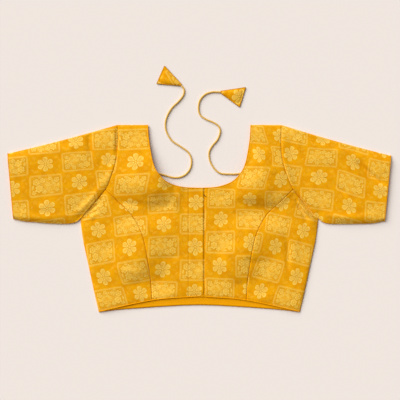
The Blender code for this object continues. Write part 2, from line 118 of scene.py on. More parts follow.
# side, top of the cuff, and the underarm seam from the cuff to the armhole
SLEEVES = {
    "left": {
        "side": -1,
        "cuff_top": (368.2, 125.5),
        "underarm": [
            (356.8, -1), (341, -5), (318, -7), (290, -9.4), (262, -10.3), (247, -9.4), (237, -6.5),
            (229.5, 0),
        ],
    },
    "right": {
        "side": 1,
        "cuff_top": (368.2, 121.5),
        "underarm": [
            (355.6, -5), (338, -8.8), (318, -10), (290, -10.5), (262, -10.5), (248, -9.8), (238, -7),
            (229.5, 0),
        ],
    },
}
SEAM_END_PULL = 12
TOP_FOLD_SAG = 1.8

# Humps and dents, with x away from the middle:
# (x, y, reach outward, inward, up and down, turn in degrees, height)
RELIEF = {
    "left": [
        (88, 66, 100, 52, 104, 50, 12, 13.0),
        (82, 14, 52, 44, 42, 32, 12, -3.0),
        (100, -34, 86, 78, 48, 62, -4, 5.5),
        (112, -82, 84, 54, 46, 50, 0, 6.5),
        (84, -132, 62, 42, 36, 28, 0, -3.0),
    ],
    "right": [
        (110, 60, 78, 62, 96, 50, -4, 13.0),
        (112, 4, 56, 54, 42, 32, -4, -3.0),
        (98, -36, 84, 80, 48, 54, 4, 5.8),
        (76, -78, 62, 52, 44, 50, 4, 6.4),
        (94, -134, 60, 50, 34, 30, 0, -3.0),
    ],
}

TIE_RADIUS = 1.65
TIE_LIFT = 0.1
TIE_ROUTES = {
    "left": [
        (-99.6, 92.5), (-89, 89.5), (-78, 86.5), (-66, 83.5), (-52.6, 79.5), (-39, 79.5), (-26, 85.5),
        (-17, 98), (-15.3, 114.5), (-21.7, 128), (-34.8, 138), (-52.6, 150), (-63, 166.5), (-65.5, 182),
        (-62, 197.5), (-52.6, 213.5), (-39.3, 226.5), (-30.6, 238.5), (-29.6, 249.5), (-35.5, 257.3),
    ],
    "right": [
        (99.6, 92.5), (90, 89), (80, 87), (69, 85.8), (58, 85.7), (41, 87.3), (29.4, 95.8), (20.6, 111),
        (18.8, 127), (25, 140), (35.5, 153), (40.3, 167.5), (37.2, 178), (27, 185.5), (14, 191), (2, 199.5),
        (-1.6, 213), (1.6, 228.5), (11.7, 239.5), (25, 244), (41.3, 243.8),
    ],
}
TIE_STEP = 8.0
PENDANTS = {"left": [(-81.9, 260.2), (-67.1, 294.2)], "right": [(77.7, 215.4), (89.3, 252.7)]}
PENDANT_NECK = 3.6
PENDANT_EDGE = 2.2
PENDANT_SEAM_RADIUS = 0.85
PENDANT_BULGE = 3.2

# -------------------------------------------------- sizes of the finer form

SHELL, LINING_SHELL = 1.0, 0.8  # thickness of the shown cloth, and of the strip of lining
SPLIT = 0.06  # between two shown pieces that are sewn together
WELD_REACH = 0.05  # within which points of the back's two halves become one
KNOT_STEPS = 16  # steps of a curve from each knot to the next
EDGE_STEPS = (0.0, 0.4, 0.9, 1.5, 2.3, 3.4, 5.0)  # closer rows of points beside every edge
# Spacing of the points elsewhere
CELL, LINING_CELL, PENDANT_CELL, PIPING_CELL, TIE_CELL = 3.2, 2.5, 1.6, 1.2, 0.7
# Shares of a side front's outer edge: its start, and where its side seam starts
TIP_SHARE, CORNER_SHARE = 0.004, 1 / 3
LOWEST_TOP, PRESS_SOFTNESS = 2 * SHELL, 0.25  # no crease presses the front below this
HEM_SAG, OPENING_SAG, SAG_REACH = 1.4, 0.4, 7.0
LINING_TURN = 5.2  # from the lining strip's lower edge to its stitches

# How far an edge rolls down, over what distance, and how high it puckers
SEAM = (1.3, 0.9, 0.2)
JOINED = (1.3, 0.9, 0.1)
PIPED = (0.8, 0.9, 0.1)
TOP_SEWN = (0.4, 0.9, 0.1)
STRIP_SEWN = (0.3, 0.8, 0.12)
STRIP_FOLD = (0.7, 1.3, 0.1)
LINING_FOLD = (0.5, 0.9, 0.0)
PUCKER_LENGTH, PUCKER_REACH, PUCKER_START = 9.5, 5.0, 1.5
HOOK_LIFT, HOOK_LIFT_REACH = 0.9, 6.0  # of the hook strip's free edge, most between the hooks
HOOK_SPACING, HOOK_TOP_Y = 36.0, 44.0

# A sleeve rises to its full puff over a share of its width beside each fold, and is calm over another
PUFF, PUFF_FROM_TOP, PUFF_FROM_SEAM, CALM_FOLD = 1.5, 0.12, 0.055, 0.06
BLEND_START, BLEND_LENGTH = 0.55, 0.45  # of its length, over which it comes to the body's height
SLEEVE_SINK = 0.6  # how far below its folds a crease may take it
SLEEVE_COLUMNS, FOLD_STEPS = 66, 6  # points across a layer, and round a quarter of a fold
# Ridges and grooves: (height, reach, and distance of the middle from the edge)
ARMHOLE_SEAM = (1.25, 1.25)
ARMHOLE_ROLL = (0.8, 4.5, 6.5)
CUFF_GROOVE = (0.4, 1.0, 14.0)
PENDANT_PINCH = (0.9, 0.1, 0.3)  # by the share of the full swell, not by distance

# Creases of the top layer: a soft ridge (height above 0) or trough through three places, as
# (x, y, x, y, x, y, width, height), and at times how many times as wide it is on its right
CREASES = [
    # left front
    (-66, 58, -52, 36, -40, 8, 6.0, 2.4), (-58, 59, -36, 32, -24, -7, 5.0, -1.4),
    (-170, 40, -140, 29, -108, 28, 6.5, -2.6), (-118, 34, -88, 34, -60, 36, 3.0, 0.9),
    (-98, 26, -75, 24, -50, 22, 3.0, -0.8), (-104, -74, -60, -76, -18, -66, 5.0, -1.2),
    (-106, -78, -90, -106, -70, -130, 4.0, -2.6, 3.2), (-38, 76, -39, 52, -49, 24, 8.0, 2.8),
    (-151, -133, -122, -126, -95, -121, 3.5, -1.0), (-168, -92, -140, -100, -108, -102, 5.0, 2.0, 2.8),
    (-224, -12, -209, -88, -188, -168, 6.0, 1.0), (-82, 150, -86, 112, -62, 71, 7.0, 1.2),
    (-208, 22, -220, 8, -236, -10, 4.0, -1.7, 1.8), (-147, -134, -140, -136, -133, -137, 2.5, -0.6),
    (-206, -4, -190, -12, -168, -10, 5.0, -0.9), (-196, 26, -178, 8, -170, -16, 6.0, -0.9),
    (-214, -80, -196, -92, -180, -112, 7.0, 0.6), (-180, -60, -172, -90, -170, -120, 8.0, -0.6),
    (-116, 24, -104, -8, -92, -40, 5.0, 0.7), (-170, 80, -203, 25, -243, -14, 9.0, -2.0, 0.5),
    (-232, -8, -214, 6, -194, 15, 2.6, -3.2), (-226, 0, -210, 15, -192, 30, 2.4, -2.8),
    (-222, -10, -208, -4, -196, -4, 2.4, -1.6), (-206, -10, -202, -4, -198, 1, 3.0, -1.6),
    (-150, 20, -132, 4, -122, -18, 5.0, 0.8),
    # right front
    (148, 84, 124, 104, 104, 140, 3.5, 3.2, 3.0), (96, 118, 104, 96, 120, 82, 6.0, -1.0),
    (70, 36, 104, 24, 158, 22, 6.0, -1.6), (78, 42, 92, 33, 112, 31, 3.5, -0.8),
    (136, 30, 154, 16, 164, 2, 6.0, -1.6), (46, 14, 61, 9, 74, 12, 2.6, -0.8),
    (70, -64, 86, -66, 104, -65, 2.6, -0.8), (58, -70, 72, -92, 90, -112, 7.0, -1.6),
    (92, -74, 104, -84, 136, -84, 6.0, -1.6), (66, -122, 76, -126, 84, -129, 3.0, -1.0),
    (188, 34, 204, 16, 226, -4, 2.2, 4.2), (184, 56, 208, 24, 238, -10, 2.6, -3.4, 1.8),
    (184, 38, 197, 16, 212, -2, 2.8, -4.0), (140, 104, 172, 66, 188, 22, 16.0, 2.4),
    (198, 8, 206, -6, 216, -16, 3.0, -2.4), (205, -4, 214, -9, 223, -10, 2.4, 1.0),
    (182, 58, 206, 25, 238, -14, 1.5, -2.8), (164, -28, 171, -66, 168, -106, 3.5, -2.4),
    (176, -12, 184, -50, 180, -92, 7.0, 0.8), (196, -60, 200, -92, 194, -124, 8.0, -0.6),
    (20, 46, 44, 42, 58, 50, 4.0, -0.5), (226, -12, 211, -88, 191, -168, 6.5, 1.3),
    (84, 152, 87, 112, 66, 75, 7.0, 1.1), (142, 29, 163, 45, 180, 61, 11.0, 1.7),
    # left sleeve
    (-211, 178, -212, 148, -206, 114, 4.5, -3.4), (-161, 177, -159, 150, -162, 118, 3.6, -3.4, 0.7),
    (-192, 124, -190, 110, -193, 94, 3.0, -0.9), (-176, 88, -211, 34, -252, 2, 6.0, 2.4),
    (-240, 9, -286, 3, -346, 8, 6.0, 1.8), (-352, 84, -344, 70, -346, 52, 5.0, -0.8),
    (-336, 120, -340, 96, -334, 70, 6.0, 0.7), (-268, 30, -300, 22, -336, 28, 9.0, 0.8),
    (-214, 100, -246, 92, -282, 100, 9.0, -0.7),
    # right sleeve
    (186, 64, 214, 32, 250, 12, 6.0, 1.8), (236, 10, 280, 3, 348, 5, 6.0, 3.0),
    (172, 160, 178, 138, 174, 124, 3.5, -0.9), (186, 156, 192, 140, 196, 124, 3.5, 0.7),
    (304, 112, 326, 88, 362, 62, 4.6, -5.4, 1.3), (330, 112, 346, 98, 360, 86, 5.0, 1.4),
    (240, 82, 268, 58, 302, 32, 2.8, -2.6), (232, 104, 268, 96, 306, 84, 9.0, -0.6),
    (262, 40, 300, 36, 338, 26, 9.0, 0.7),
]
CREASE_STEPS, CREASE_BLUNTNESS = 24, 0.8
RIPPLE_SEED, RIPPLE_COUNT, RIPPLE_HEIGHT, RIPPLE_LENGTHS = 11, 14, 0.07, (16, 60)
PIPING_LIFT = 0.35

TIE_STRANDS = 3
TIE_TWIST = 8.5  # along for one turn
STITCH_LENGTH, STITCH_GAP, STITCH_RADIUS, STITCH_SIDES = 2.1, 1.0, 0.22, 6
# A stitch: (share of its length from its middle, its girth and how far it sinks there), and its middle's lift
GRAIN = [(-0.5, 0.25, 0.9), (-0.36, 0.85, 0.2), (0.0, 1.0, 0.0), (0.36, 0.85, 0.2), (0.5, 0.25, 0.9)]
GRAIN_LIFT = 0.35
NECK_STITCHES, HEM_STITCHES = 5.2, 5.3  # from the edge
PLACKET_STITCHES = (54.0, -145.0)  # y of a row's ends
HOOK_PLACE, HOOK_RADIUS = (10.0, 44.0), 0.55
# The hook's wire: (x, y, height over the cloth at the hook's place)
HOOK = [
    (5.6, 48.6, -0.2), (7.2, 47.4, 0.5), (9.4, 45.4, 0.6),
    (11.6, 43.2, 0.4), (13.0, 41.9, 0.1), (13.9, 41.6, -0.5),
]
HOOK_TACKS = [(15.0, 40.6), (19.5, 40.9), (24.0, 40.4), (29.5, 40.8)]

# -------------------------------------------------- where the brocade's repeat lies on each piece

# A whole column and row make a flower when their sum is even, and a framed blossom when it is odd
REPEAT_WIDTH, REPEAT_HEIGHT = 62.0, 43.0
PATTERN = {
    # piece: [(x, y, column, row), ...]
    "centre_left": [
        (-6.3, 31, 0, 2), (-8.2, -54.3, 0, 0), (-10.1, -140, 0, -2), (-68, -10.6, -1, 1),
        (-70.3, -98.2, -1, -1), (-68, -54.3, -1, 0), (-132.5, 24.1, -2, 2), (-120.9, 109.8, -2, 4),
        (-127.9, 152.5, -2, 5), (-132.7, 64.7, -2, 3), (-6.3, -101, 0, -1),
    ],
    "centre_right": [
        (41.6, -1.4, 0, 0), (38.9, -91.7, 0, -2), (98.3, -45.4, 1, -1), (98.9, 0, 1, 0), (40, -45.4, 0, -1),
        (98, -92.3, 1, -2), (40, -135.1, 0, -3), (103.4, 76.2, 1, 2), (117.3, 124.5, 1, 3),
        (128, 159.2, 1.5, 4), (156.6, 74.9, 2, 2),
    ],
    "side_left": [
        (-194.4, -22.2, 0, 0), (-134.2, -12.5, 1, 0), (-135, -54.2, 1, -1), (-188.7, -64.7, 0, -1),
        (-184.2, -113.7, 0, -2), (-125.4, -103.3, 1, -2), (-113, -144.8, 1, -3), (-169.4, -152.5, 0, -3),
    ],
    "side_right": [
        (200.2, -23.4, 0, 0), (147.6, -53.1, -1, -1), (152, -12.5, -1, 0), (192.5, -65.6, 0, -1),
        (187.7, -112.5, 0, -2), (132.7, -98.4, -1, -2), (118, -139.8, -1, -3), (172.3, -153.4, 0, -3),
    ],
    "sleeve_left": [
        (-295.8, 104.4, 0, 0), (-237.9, 147.7, 1, 1), (-230.9, 70.4, 1, -1), (-292.5, 19.7, 0, -2),
        (-175, 112.5, 2, 0), (-234, 111, 1, 0), (-294.8, 64.7, 0, -1), (-227.3, 29, 1, -2),
        (-326.7, 15.4, -0.5, -2), (-207, 149.6, 1.5, 1), (-198.3, 74.3, 1.5, -1), (-328.6, 102.3, -0.5, 0),
    ],
    "sleeve_right": [
        (230.4, 80.1, 0, 0), (296.2, 109.8, 1, 1), (288.4, 24.5, 1, -1), (238, 153.8, 0, 2),
        (177.1, 124.5, -1, 1), (347.9, 54.2, 2, 0), (236.3, 117.7, 0, 1), (292.9, 65.6, 1, 0),
        (227.7, 37.6, 0, -1), (323.8, 97.5, 1.5, 1), (318, 14.5, 1.5, -1), (195.4, 81.1, -0.5, 0),
    ],
}
PATTERN_REACH = 42.0  # how far one measured point bends the repeat
PATTERN_SOFTNESS = 0.05
PLAIN_LAYS = {
    # piece: turn in degrees, (x, y) of a flower's middle
    "back": (2.0, (4.0, -60.0)),
    "pendant_left": (30.0, (-84.0, 250.0)),
    "pendant_right": (-20.0, (78.0, 235.0)),
}

# -------------------------------------------------- the brocade's drawing

# Places are from the middle of a cell of the repeat
DRAWN_STEP = 0.5  # the drawing is woven in squares of this size
SATIN_STEP, FLOAT_STEP = 0.45, (3.0, 0.6)  # spacing of the ground's ribs and of the gold's floats
FRAME_HALF, FRAME_CORNER = (25.2, 15.5), 2.2
MEDALLION_HALF = (19.0, 14.0)
# (x, y, radius, lobes)
BUDS = [(-20.5, 13.5, 4.6, 5), (20.0, -14.0, 4.2, 5)]
BLOSSOMS = [
    (12.5, 6.0, 7.6, 6), (17.5, -7.0, 7.0, 6), (6.5, -9.5, 5.6, 6), (3.0, 12.0, 4.8, 5),
    (-7.5, -13.0, 4.4, 5), (-20.0, -9.5, 5.6, 5), (21.5, 12.5, 4.4, 5), (-20.5, 10.0, 4.4, 5),
]
# (x, y, turn in degrees, half length, half width)
SPRIGS = [
    (-17.5, -15.5, 20, 5.6, 2.6), (-24.0, -11.5, -40, 4.4, 2.2), (26.0, -7.0, 70, 4.2, 2.0),
    (21.5, 13.5, 25, 5.2, 2.4), (26.5, 6.5, -60, 3.6, 1.8), (-26.5, 4.5, 80, 3.8, 1.8),
]
SPRAYS = [
    (-23.0, 0.5, 82, 5.6, 2.4), (24.0, 3.0, 78, 5.0, 2.2), (11.0, -15.6, -14, 5.0, 2.0),
    (-9.5, 15.2, 12, 5.6, 2.0), (-14.0, -4.0, 40, 4.6, 1.8),
]

# -------------------------------------------------- colours, as linear RGB

GROUND = (0.89, 0.405, 0.003)
GROUND_DEEP = (0.80, 0.325, 0.002)
SHADED = (0.66, 0.26, 0.002)
GAP = (0.62, 0.29, 0.004)
GOLD = (1.0, 0.73, 0.14)
GOLD_DULL = (0.93, 0.475, 0.022)
OUTLINE = (0.60, 0.26, 0.01)
PLAIN = (1.0, 0.43, 0.003)
GOLD_GLOSS = (1.0, 0.76, 0.28)
SHEEN = (1.0, 0.62, 0.10)
THREAD = (0.86, 0.40, 0.02)
BROWN_THREAD = (0.30, 0.12, 0.005)
# The cord's strand crowns, painted lighter, and a darker tone that is painted shade in the grooves between the
# strands as well as the colour of its darker fibres
CORD_LIT_CROWN = (0.94, 0.64, 0.18)
CORD_FIBRE_AND_GROOVE_SHADE = (0.60, 0.30, 0.03)
HOOK_METAL = (0.16, 0.07, 0.015)
FLOOR = (0.876, 0.813, 0.775)
# A material's settings where it names no others
MATERIAL = {
    "Sheen_Weight": 0.0,
    "Sheen_Roughness": 0.4,
    "Sheen_Tint": SHEEN,
    "Specular_Tint": SHEEN,
    "Metallic": 0.0,
    "Specular_IOR_Level": 0.08,
}

# -------------------------------------------------- camera and light

CAMERA_MIDDLE = (1.4, 35.7)
CAMERA_HEIGHT = 2500.0
VIEW_WIDTH = 772.0
SENSOR = 36.0
SUN_TRAVEL = (0.72, -0.80, -0.88)
SUN_STRENGTH = 3.70
SUN_SOFTNESS = math.radians(56)
SKY_STRENGTH = 0.25
SKY = (1.0, 0.93, 0.84)
FLOOR_SIZE, FLOOR_Z = 6.0, -0.0002  # in metres


# ================================================== curves and heights


def smooth_line(points, steps):
    """A smooth line through points, with so many steps from each to the next."""
    points = np.array(points, float)
    padded = np.vstack([points[:1], points, points[-1:]])
    t = np.arange(steps)[:, None] / steps
    spans = [
        0.5 * (
            2 * start
            + (end - before) * t
            + (2 * before - 5 * start + 4 * end - after) * t**2
            + (3 * (start - end) + after - before) * t**3
        )
        for before, start, end, after in zip(padded, padded[1:], padded[2:], padded[3:])
    ]
    return np.vstack([*spans, points[-1:]])


class Curve:
    """A smooth curve through knots, read off by distance along it."""

    def __init__(self, knots):
        self.fine = smooth_line(knots, KNOT_STEPS)
        self.along = lengths(self.fine)
        self.knots = self.along[::KNOT_STEPS]

    def at(self, place):
        return paired(*(np.interp(place, self.along, self.fine[:, k]) for k in (0, 1)))

    def share(self, shares):
        return self.at(np.asarray(shares) * self.along[-1])

    def between(self, first, last, shares):
        low, high = self.knots[first], self.knots[last]
        return self.at(low + (high - low) * np.asarray(shares))

    def height_at(self, x):
        order = np.argsort(self.fine[:, 0], kind="stable")
        return np.interp(x, self.fine[order, 0], self.fine[order, 1])


def paired(x, y):
    """Points, or other pairs of numbers, from their two parts."""
    return np.stack(np.broadcast_arrays(x, y), axis=-1)


def lengths(line):
    """Distance along a line at each of its points."""
    return np.concatenate([[0.0], np.cumsum(np.linalg.norm(np.diff(line, axis=0), axis=1))])


def unit(vectors):
    """Rows of vectors, each made one long."""
    return vectors / np.linalg.norm(vectors, axis=1)[:, None]


def moved_out(line, by):
    """A line moved sideways, to the left of its direction if by is positive."""
    slope = unit(np.gradient(line, axis=0))
    return line + paired(-slope[:, 1], slope[:, 0]) * by


def mirrored(line, side):
    return line * (side, 1)


def parabola(start, middle, end, t):
    control = 2 * middle - (start + end) / 2
    return (1 - t) ** 2 * start + 2 * t * (1 - t) * control + t**2 * end


def smooth_step(t):
    t = np.clip(t, 0, 1)
    return t * t * (3 - 2 * t)


def bell(away, reach):
    """1 where away is 0, falling smoothly to about a third at the reach."""
    return np.exp(-((away / reach) ** 2))


def ridge(away, height, reach, middle=0.0):
    """A soft rounded line of some height, at a distance from an edge."""
    return height * bell(away - middle, reach)


def softened(inward):
    return 1 - np.exp(-np.maximum(inward, 0) / EDGE_SOFTNESS)


def bump(x, y, at_x, at_y, outward, inward, up, down, turn, height):
    """A smooth hump or dent, with its own reach on each of its four sides."""
    angle = math.radians(turn)
    dx, dy = x - at_x, y - at_y
    along, across = dx * math.cos(angle) + dy * math.sin(angle), dy * math.cos(angle) - dx * math.sin(angle)
    u = along / np.where(along > 0, outward, inward)
    v = across / np.where(across > 0, up, down)
    return height * np.maximum(1 - u * u - v * v, 0) ** 2


def front_height(x, y):
    """Height of the front's underside on the solids."""
    on_left = np.asarray(x) < 0
    x = np.abs(x)
    (x0, y0), (x1, y1) = SIDE_SEAM[0], SIDE_SEAM[-1]
    from_side = ((x0 - x) * (y0 - y1) - (y0 - y) * (x0 - x1)) / math.dist(SIDE_SEAM[0], SIDE_SEAM[-1])
    closed = softened(from_side) * softened(SHOULDER_Y - y)
    relief = [sum(bump(x, y, *row) for row in RELIEF[side]) for side in ("left", "right")]
    return FRONT_BASE + FRONT_RISE * closed + np.where(on_left, *relief) * softened(from_side)


def crease(x, y, *row):
    """A crease, whose section is a soft bell, lean times as wide on its right. It fades out at both ends."""
    start, middle, end = np.array(row[:6], float).reshape(3, 2)
    width, height, lean = (*row[6:], 1.0)[:3]
    control = 2 * middle - (start + end) / 2
    nearest, place, widths = np.full(np.shape(x), np.inf), np.zeros(np.shape(x)), np.full(np.shape(x), width)
    for t in np.linspace(0, 1, CREASE_STEPS + 1):
        px, py = parabola(start, middle, end, t)
        ahead_x, ahead_y = (1 - t) * (control - start) + t * (end - control)
        away = np.hypot(x - px, y - py)
        closer = away < nearest
        on_right = ahead_x * (y - py) - ahead_y * (x - px) < 0
        nearest = np.where(closer, away, nearest)
        place = np.where(closer, t, place)
        widths = np.where(closer, np.where(on_right, width * lean, width), widths)
    return height * bell(nearest, widths) * np.sin(np.pi * place) ** CREASE_BLUNTNESS


def ripples(x, y):
    """The faint unevenness of pressed cloth: a few waves of different lengths and directions."""
    random = np.random.default_rng(RIPPLE_SEED)
    total = np.zeros(np.shape(x))
    for _ in range(RIPPLE_COUNT):
        angle, phase = random.uniform(0, 2 * np.pi), random.uniform(0, 2 * np.pi)
        wavelength = random.uniform(*RIPPLE_LENGTHS)
        along = x * np.cos(angle) + y * np.sin(angle)
        total += np.sin(2 * np.pi * along / wavelength + phase) * wavelength / 40
    return total * RIPPLE_HEIGHT


def edge_sag(x, y):
    """The front sinks towards the lining at its hem, and towards the eye strip beside the opening."""
    from_hem = y - np.interp(np.abs(x), *zip(*FRONT_HEM))
    from_opening = np.where(x > HOOK_EDGE_X, x - RIGHT_FRONT_X, np.inf)
    return -HEM_SAG * bell(from_hem, SAG_REACH) - OPENING_SAG * bell(from_opening, SAG_REACH)


def fine_form(x, y):
    """What the shown cloth adds to the solids' smooth form."""
    return sum(crease(x, y, *row) for row in CREASES) + ripples(x, y) + edge_sag(x, y)


def pressed(height):
    """A height over the back that no crease presses through the layer below: the limit is soft."""
    above = (height - LOWEST_TOP) / PRESS_SOFTNESS
    return LOWEST_TOP + PRESS_SOFTNESS * np.logaddexp(0.0, above)


def front_top(x, y):
    return front_height(x, y) + CLOTH + fine_form(x, y)


# ================================================== the brocade's repeat on each piece


def pattern_map(points):
    """A function from (x, y) to (column, row): an even lay of the repeat, bent through measured points."""
    places, repeats = np.hsplit(np.array(points, float), 2)
    base = np.hstack([np.ones((len(places), 1)), places])
    lay = np.linalg.lstsq(base, repeats, rcond=None)[0]

    def nearness(a, b):
        squared = ((a[:, None, :] - b[None, :, :]) ** 2).sum(axis=2)
        return np.exp(-squared / (2 * PATTERN_REACH**2))

    left_over = repeats - base @ lay
    weights = np.linalg.solve(nearness(places, places) + PATTERN_SOFTNESS * np.eye(len(places)), left_over)

    def repeat_at(place):
        flat = place.reshape(-1, 2)
        found = np.hstack([np.ones((len(flat), 1)), flat]) @ lay + nearness(flat, places) @ weights
        return found.reshape(place.shape)

    return repeat_at


def plain_lay(turn, flower):
    """The same for a piece on which the repeat lies straight, turned about a flower's middle."""
    angle = math.radians(turn)

    def repeat_at(place):
        dx, dy = place[..., 0] - flower[0], place[..., 1] - flower[1]
        column = (dx * math.cos(angle) + dy * math.sin(angle)) / REPEAT_WIDTH
        row = (dy * math.cos(angle) - dx * math.sin(angle)) / REPEAT_HEIGHT
        return paired(column, row)

    return repeat_at


LAYS = {name: pattern_map(points) for name, points in PATTERN.items()}
LAYS.update({name: plain_lay(*lay) for name, lay in PLAIN_LAYS.items()})


# ================================================== meshes


def placed_object(name, data):
    thing = bpy.data.objects.new(name, data)
    bpy.context.scene.collection.objects.link(thing)
    return thing


def mesh_piece(name, points, faces, uv_faces, materials):
    """An object from points in millimetres, with the cloth's own coordinates at each corner of each face."""
    data = bpy.data.meshes.new(name)
    data.from_pydata((np.asarray(points) * MM).tolist(), [], faces)
    layer = data.uv_layers.new(name="cloth")
    layer.data.foreach_set("uv", np.asarray(uv_faces, dtype=np.float32).ravel())
    for material in materials:
        data.materials.append(material)
    data.shade_smooth()
    return placed_object(name, data)


def grid_faces(rows, columns, closed=False):
    """Faces of a grid of points, and for each face the four grid places of its corners."""
    faces, corners = [], []
    for i in range(rows - 1):
        for j in range(columns if closed else columns - 1):
            k = (j + 1) % columns
            faces.append((i * columns + j, i * columns + k, (i + 1) * columns + k, (i + 1) * columns + j))
            corners.append(((i, j), (i, j + 1), (i + 1, j + 1), (i + 1, j)))
    return faces, corners


def at_corners(values, corners):
    """A grid's values, one for each corner of each face."""
    return values[tuple(np.array(corners).reshape(-1, 2).T)]


def thicken(piece, thickness):
    """Gives a surface its thickness, on the side that its faces point away from."""
    solidify = piece.modifiers.new("thickness", "SOLIDIFY")
    solidify.thickness = thickness * MM
    solidify.offset = -1
    solidify.material_offset = 1
    return piece


def upward(points, repeats):
    """Both grids, with their columns turned round if need be, so that the faces point up."""
    across, down = (points[place][:2] - points[0, 0, :2] for place in ((0, -1), (-1, 0)))
    if across[0] * down[1] - across[1] * down[0] > 0:
        return points, repeats
    return points[:, ::-1], repeats[:, ::-1]


def apply_modifiers(piece):
    """Makes the shape that the modifiers give the piece's own."""
    graph = bpy.context.evaluated_depsgraph_get()
    made = bpy.data.meshes.new_from_object(piece.evaluated_get(graph))
    piece.modifiers.clear()
    piece.data = made


def settle(piece, lowest):
    """Raises the points of a piece that its thickness took below what it lies on."""
    for vertex in piece.data.vertices:
        vertex.co.z = max(vertex.co.z, lowest * MM)


def point_out(piece):
    """Points the faces of a closed mesh out."""
    shape = bmesh.new()
    shape.from_mesh(piece.data)
    bmesh.ops.recalc_face_normals(shape, faces=shape.faces)
    shape.to_mesh(piece.data)
    shape.free()
    return piece


def finished(piece, slot, *nodes):
    """Rides a piece on the blouse and puts it in place of its solids. Its material slot is not used."""
    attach(piece, "root")
    if nodes:
        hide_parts(*nodes)


# ================================================== shader helper


class Field:
    """A number at each point of a surface, worked out by shader nodes, with the usual signs of arithmetic."""

    def __init__(self, socket):
        self.tree, self.socket = socket.id_data, socket

    def op(self, operation, *others):
        node = self.tree.nodes.new("ShaderNodeMath")
        node.operation = operation
        wire(node.inputs, self, *others)
        return Field(node.outputs[0])

    def __rsub__(self, other):
        return self * -1 + other

    def squared(self):
        return self * self

    def rising(self, low, high):
        """0 up to low, 1 from high on, and smooth between."""
        node = self.tree.nodes.new("ShaderNodeMapRange")
        node.interpolation_type = "SMOOTHSTEP"
        wire(node.inputs, self, low, high)
        return Field(node.outputs["Result"])

    def falling(self, low, high):
        return 1 - self.rising(low, high)


def method(operation):
    return lambda self, *others: self.op(operation, *others)


for name, operation in {
    "__add__": "ADD", "__radd__": "ADD", "__sub__": "SUBTRACT", "__mul__": "MULTIPLY", "__rmul__": "MULTIPLY",
    "__truediv__": "DIVIDE", "root": "SQRT", "size": "ABSOLUTE", "floor": "FLOOR", "sine": "SINE",
    "cosine": "COSINE", "least": "MINIMUM", "most": "MAXIMUM", "remainder": "FLOORED_MODULO",
    "towards": "ARCTAN2", "over": "GREATER_THAN",
}.items():
    setattr(Field, name, method(operation))


def wire(slots, *values):
    """Gives a node's inputs fields, colours, other nodes' sockets or plain numbers."""
    for slot, value in zip(slots, values):
        if isinstance(value, Field):
            value = value.socket
        if isinstance(value, bpy.types.NodeSocket):
            slot.id_data.links.new(value, slot)
        else:
            slot.default_value = (*value, 1) if isinstance(value, tuple) else value


def distance(x, y):
    return (x.squared() + y.squared()).root()


def turned(x, y, degrees):
    c, s = math.cos(math.radians(degrees)), math.sin(math.radians(degrees))
    return x * c + y * s, y * c - x * s


def either(*fields):
    joined = fields[0]
    for field in fields[1:]:
        joined = joined.most(field)
    return joined


def cloth_place(tree):
    """The cloth's own coordinates as two fields."""
    uv = tree.nodes.new("ShaderNodeUVMap")
    uv.uv_map = "cloth"
    apart = tree.nodes.new("ShaderNodeSeparateXYZ")
    wire(apart.inputs, uv.outputs["UV"])
    return Field(apart.outputs["X"]), Field(apart.outputs["Y"])


def noise(x, y, z=0.0, detail=2.0, roughness=0.5):
    """Smooth noise from 0 to 1 at a place given by fields."""
    joined = x.tree.nodes.new("ShaderNodeCombineXYZ")
    wire(joined.inputs, x, y, z)
    node = x.tree.nodes.new("ShaderNodeTexNoise")
    slots = [node.inputs[name] for name in ("Vector", "Scale", "Detail", "Roughness")]
    wire(slots, joined.outputs[0], 1.0, detail, roughness)
    return Field(node.outputs["Fac"])


def mixed(share, low, high):
    """A colour between two, each a colour or the result of another mix."""
    node = share.tree.nodes.new("ShaderNodeMix")
    node.data_type = "RGBA"
    node.clamp_factor = True
    wire([node.inputs[k] for k in (0, 6, 7)], share, low, high)
    return node.outputs[2]


def new_material(name, **settings):
    """(material, its node tree)"""
    material = bpy.data.materials.new(name)
    material.use_nodes = True
    tree = material.node_tree
    dress(tree, **{**MATERIAL, **settings})
    return material, tree


def dress(tree, **settings):
    """Sets or links inputs of a material's shader, each named as there, with _ for a space."""
    shader = tree.nodes["Principled BSDF"]
    wire([shader.inputs[name.replace("_", " ")] for name in settings], *settings.values())


def bump_shader(height, distance_mm, strength=0.5):
    """Bends the shader's normal by a height, so that threads and lines stand out."""
    node = height.tree.nodes.new("ShaderNodeBump")
    slots = [node.inputs[name] for name in ("Distance", "Strength", "Height")]
    wire(slots, distance_mm * MM, strength, height)
    dress(height.tree, Normal=node.outputs["Normal"])


# ================================================== the brocade


def rosette(x, y, middle_x, middle_y, radius, lobes):
    """A small lobed blossom: (its disc, drawn brighter at its edge and eye, and its dark lines)."""
    dx, dy = x - middle_x, y - middle_y
    lobe = (dx.towards(dy) * (lobes / 2)).cosine().size()
    r = distance(dx, dy) / radius
    past = r - (lobe * 0.36 + 0.64)
    disc = past.falling(-0.1, 0.04)
    drawn = either(past.rising(-0.36, -0.2), r.falling(0.14, 0.24))
    outline = past.rising(-0.05, 0.08) * past.falling(0.2, 0.4)
    between = lobe.falling(0.1, 0.4) * r.rising(0.3, 0.42) * past.falling(-0.1, 0.05)
    ring = r.rising(0.2, 0.28) * r.falling(0.34, 0.46)
    return disc * (drawn * 0.65 + 0.35), either(outline, between * 0.8, ring * 0.6)


def leaf(x, y, middle_x, middle_y, turn, half_length, half_width):
    along, across = turned(x - middle_x, y - middle_y, turn)
    return ((along / half_length).squared() + across.size() / half_width).falling(0.75, 1.1)


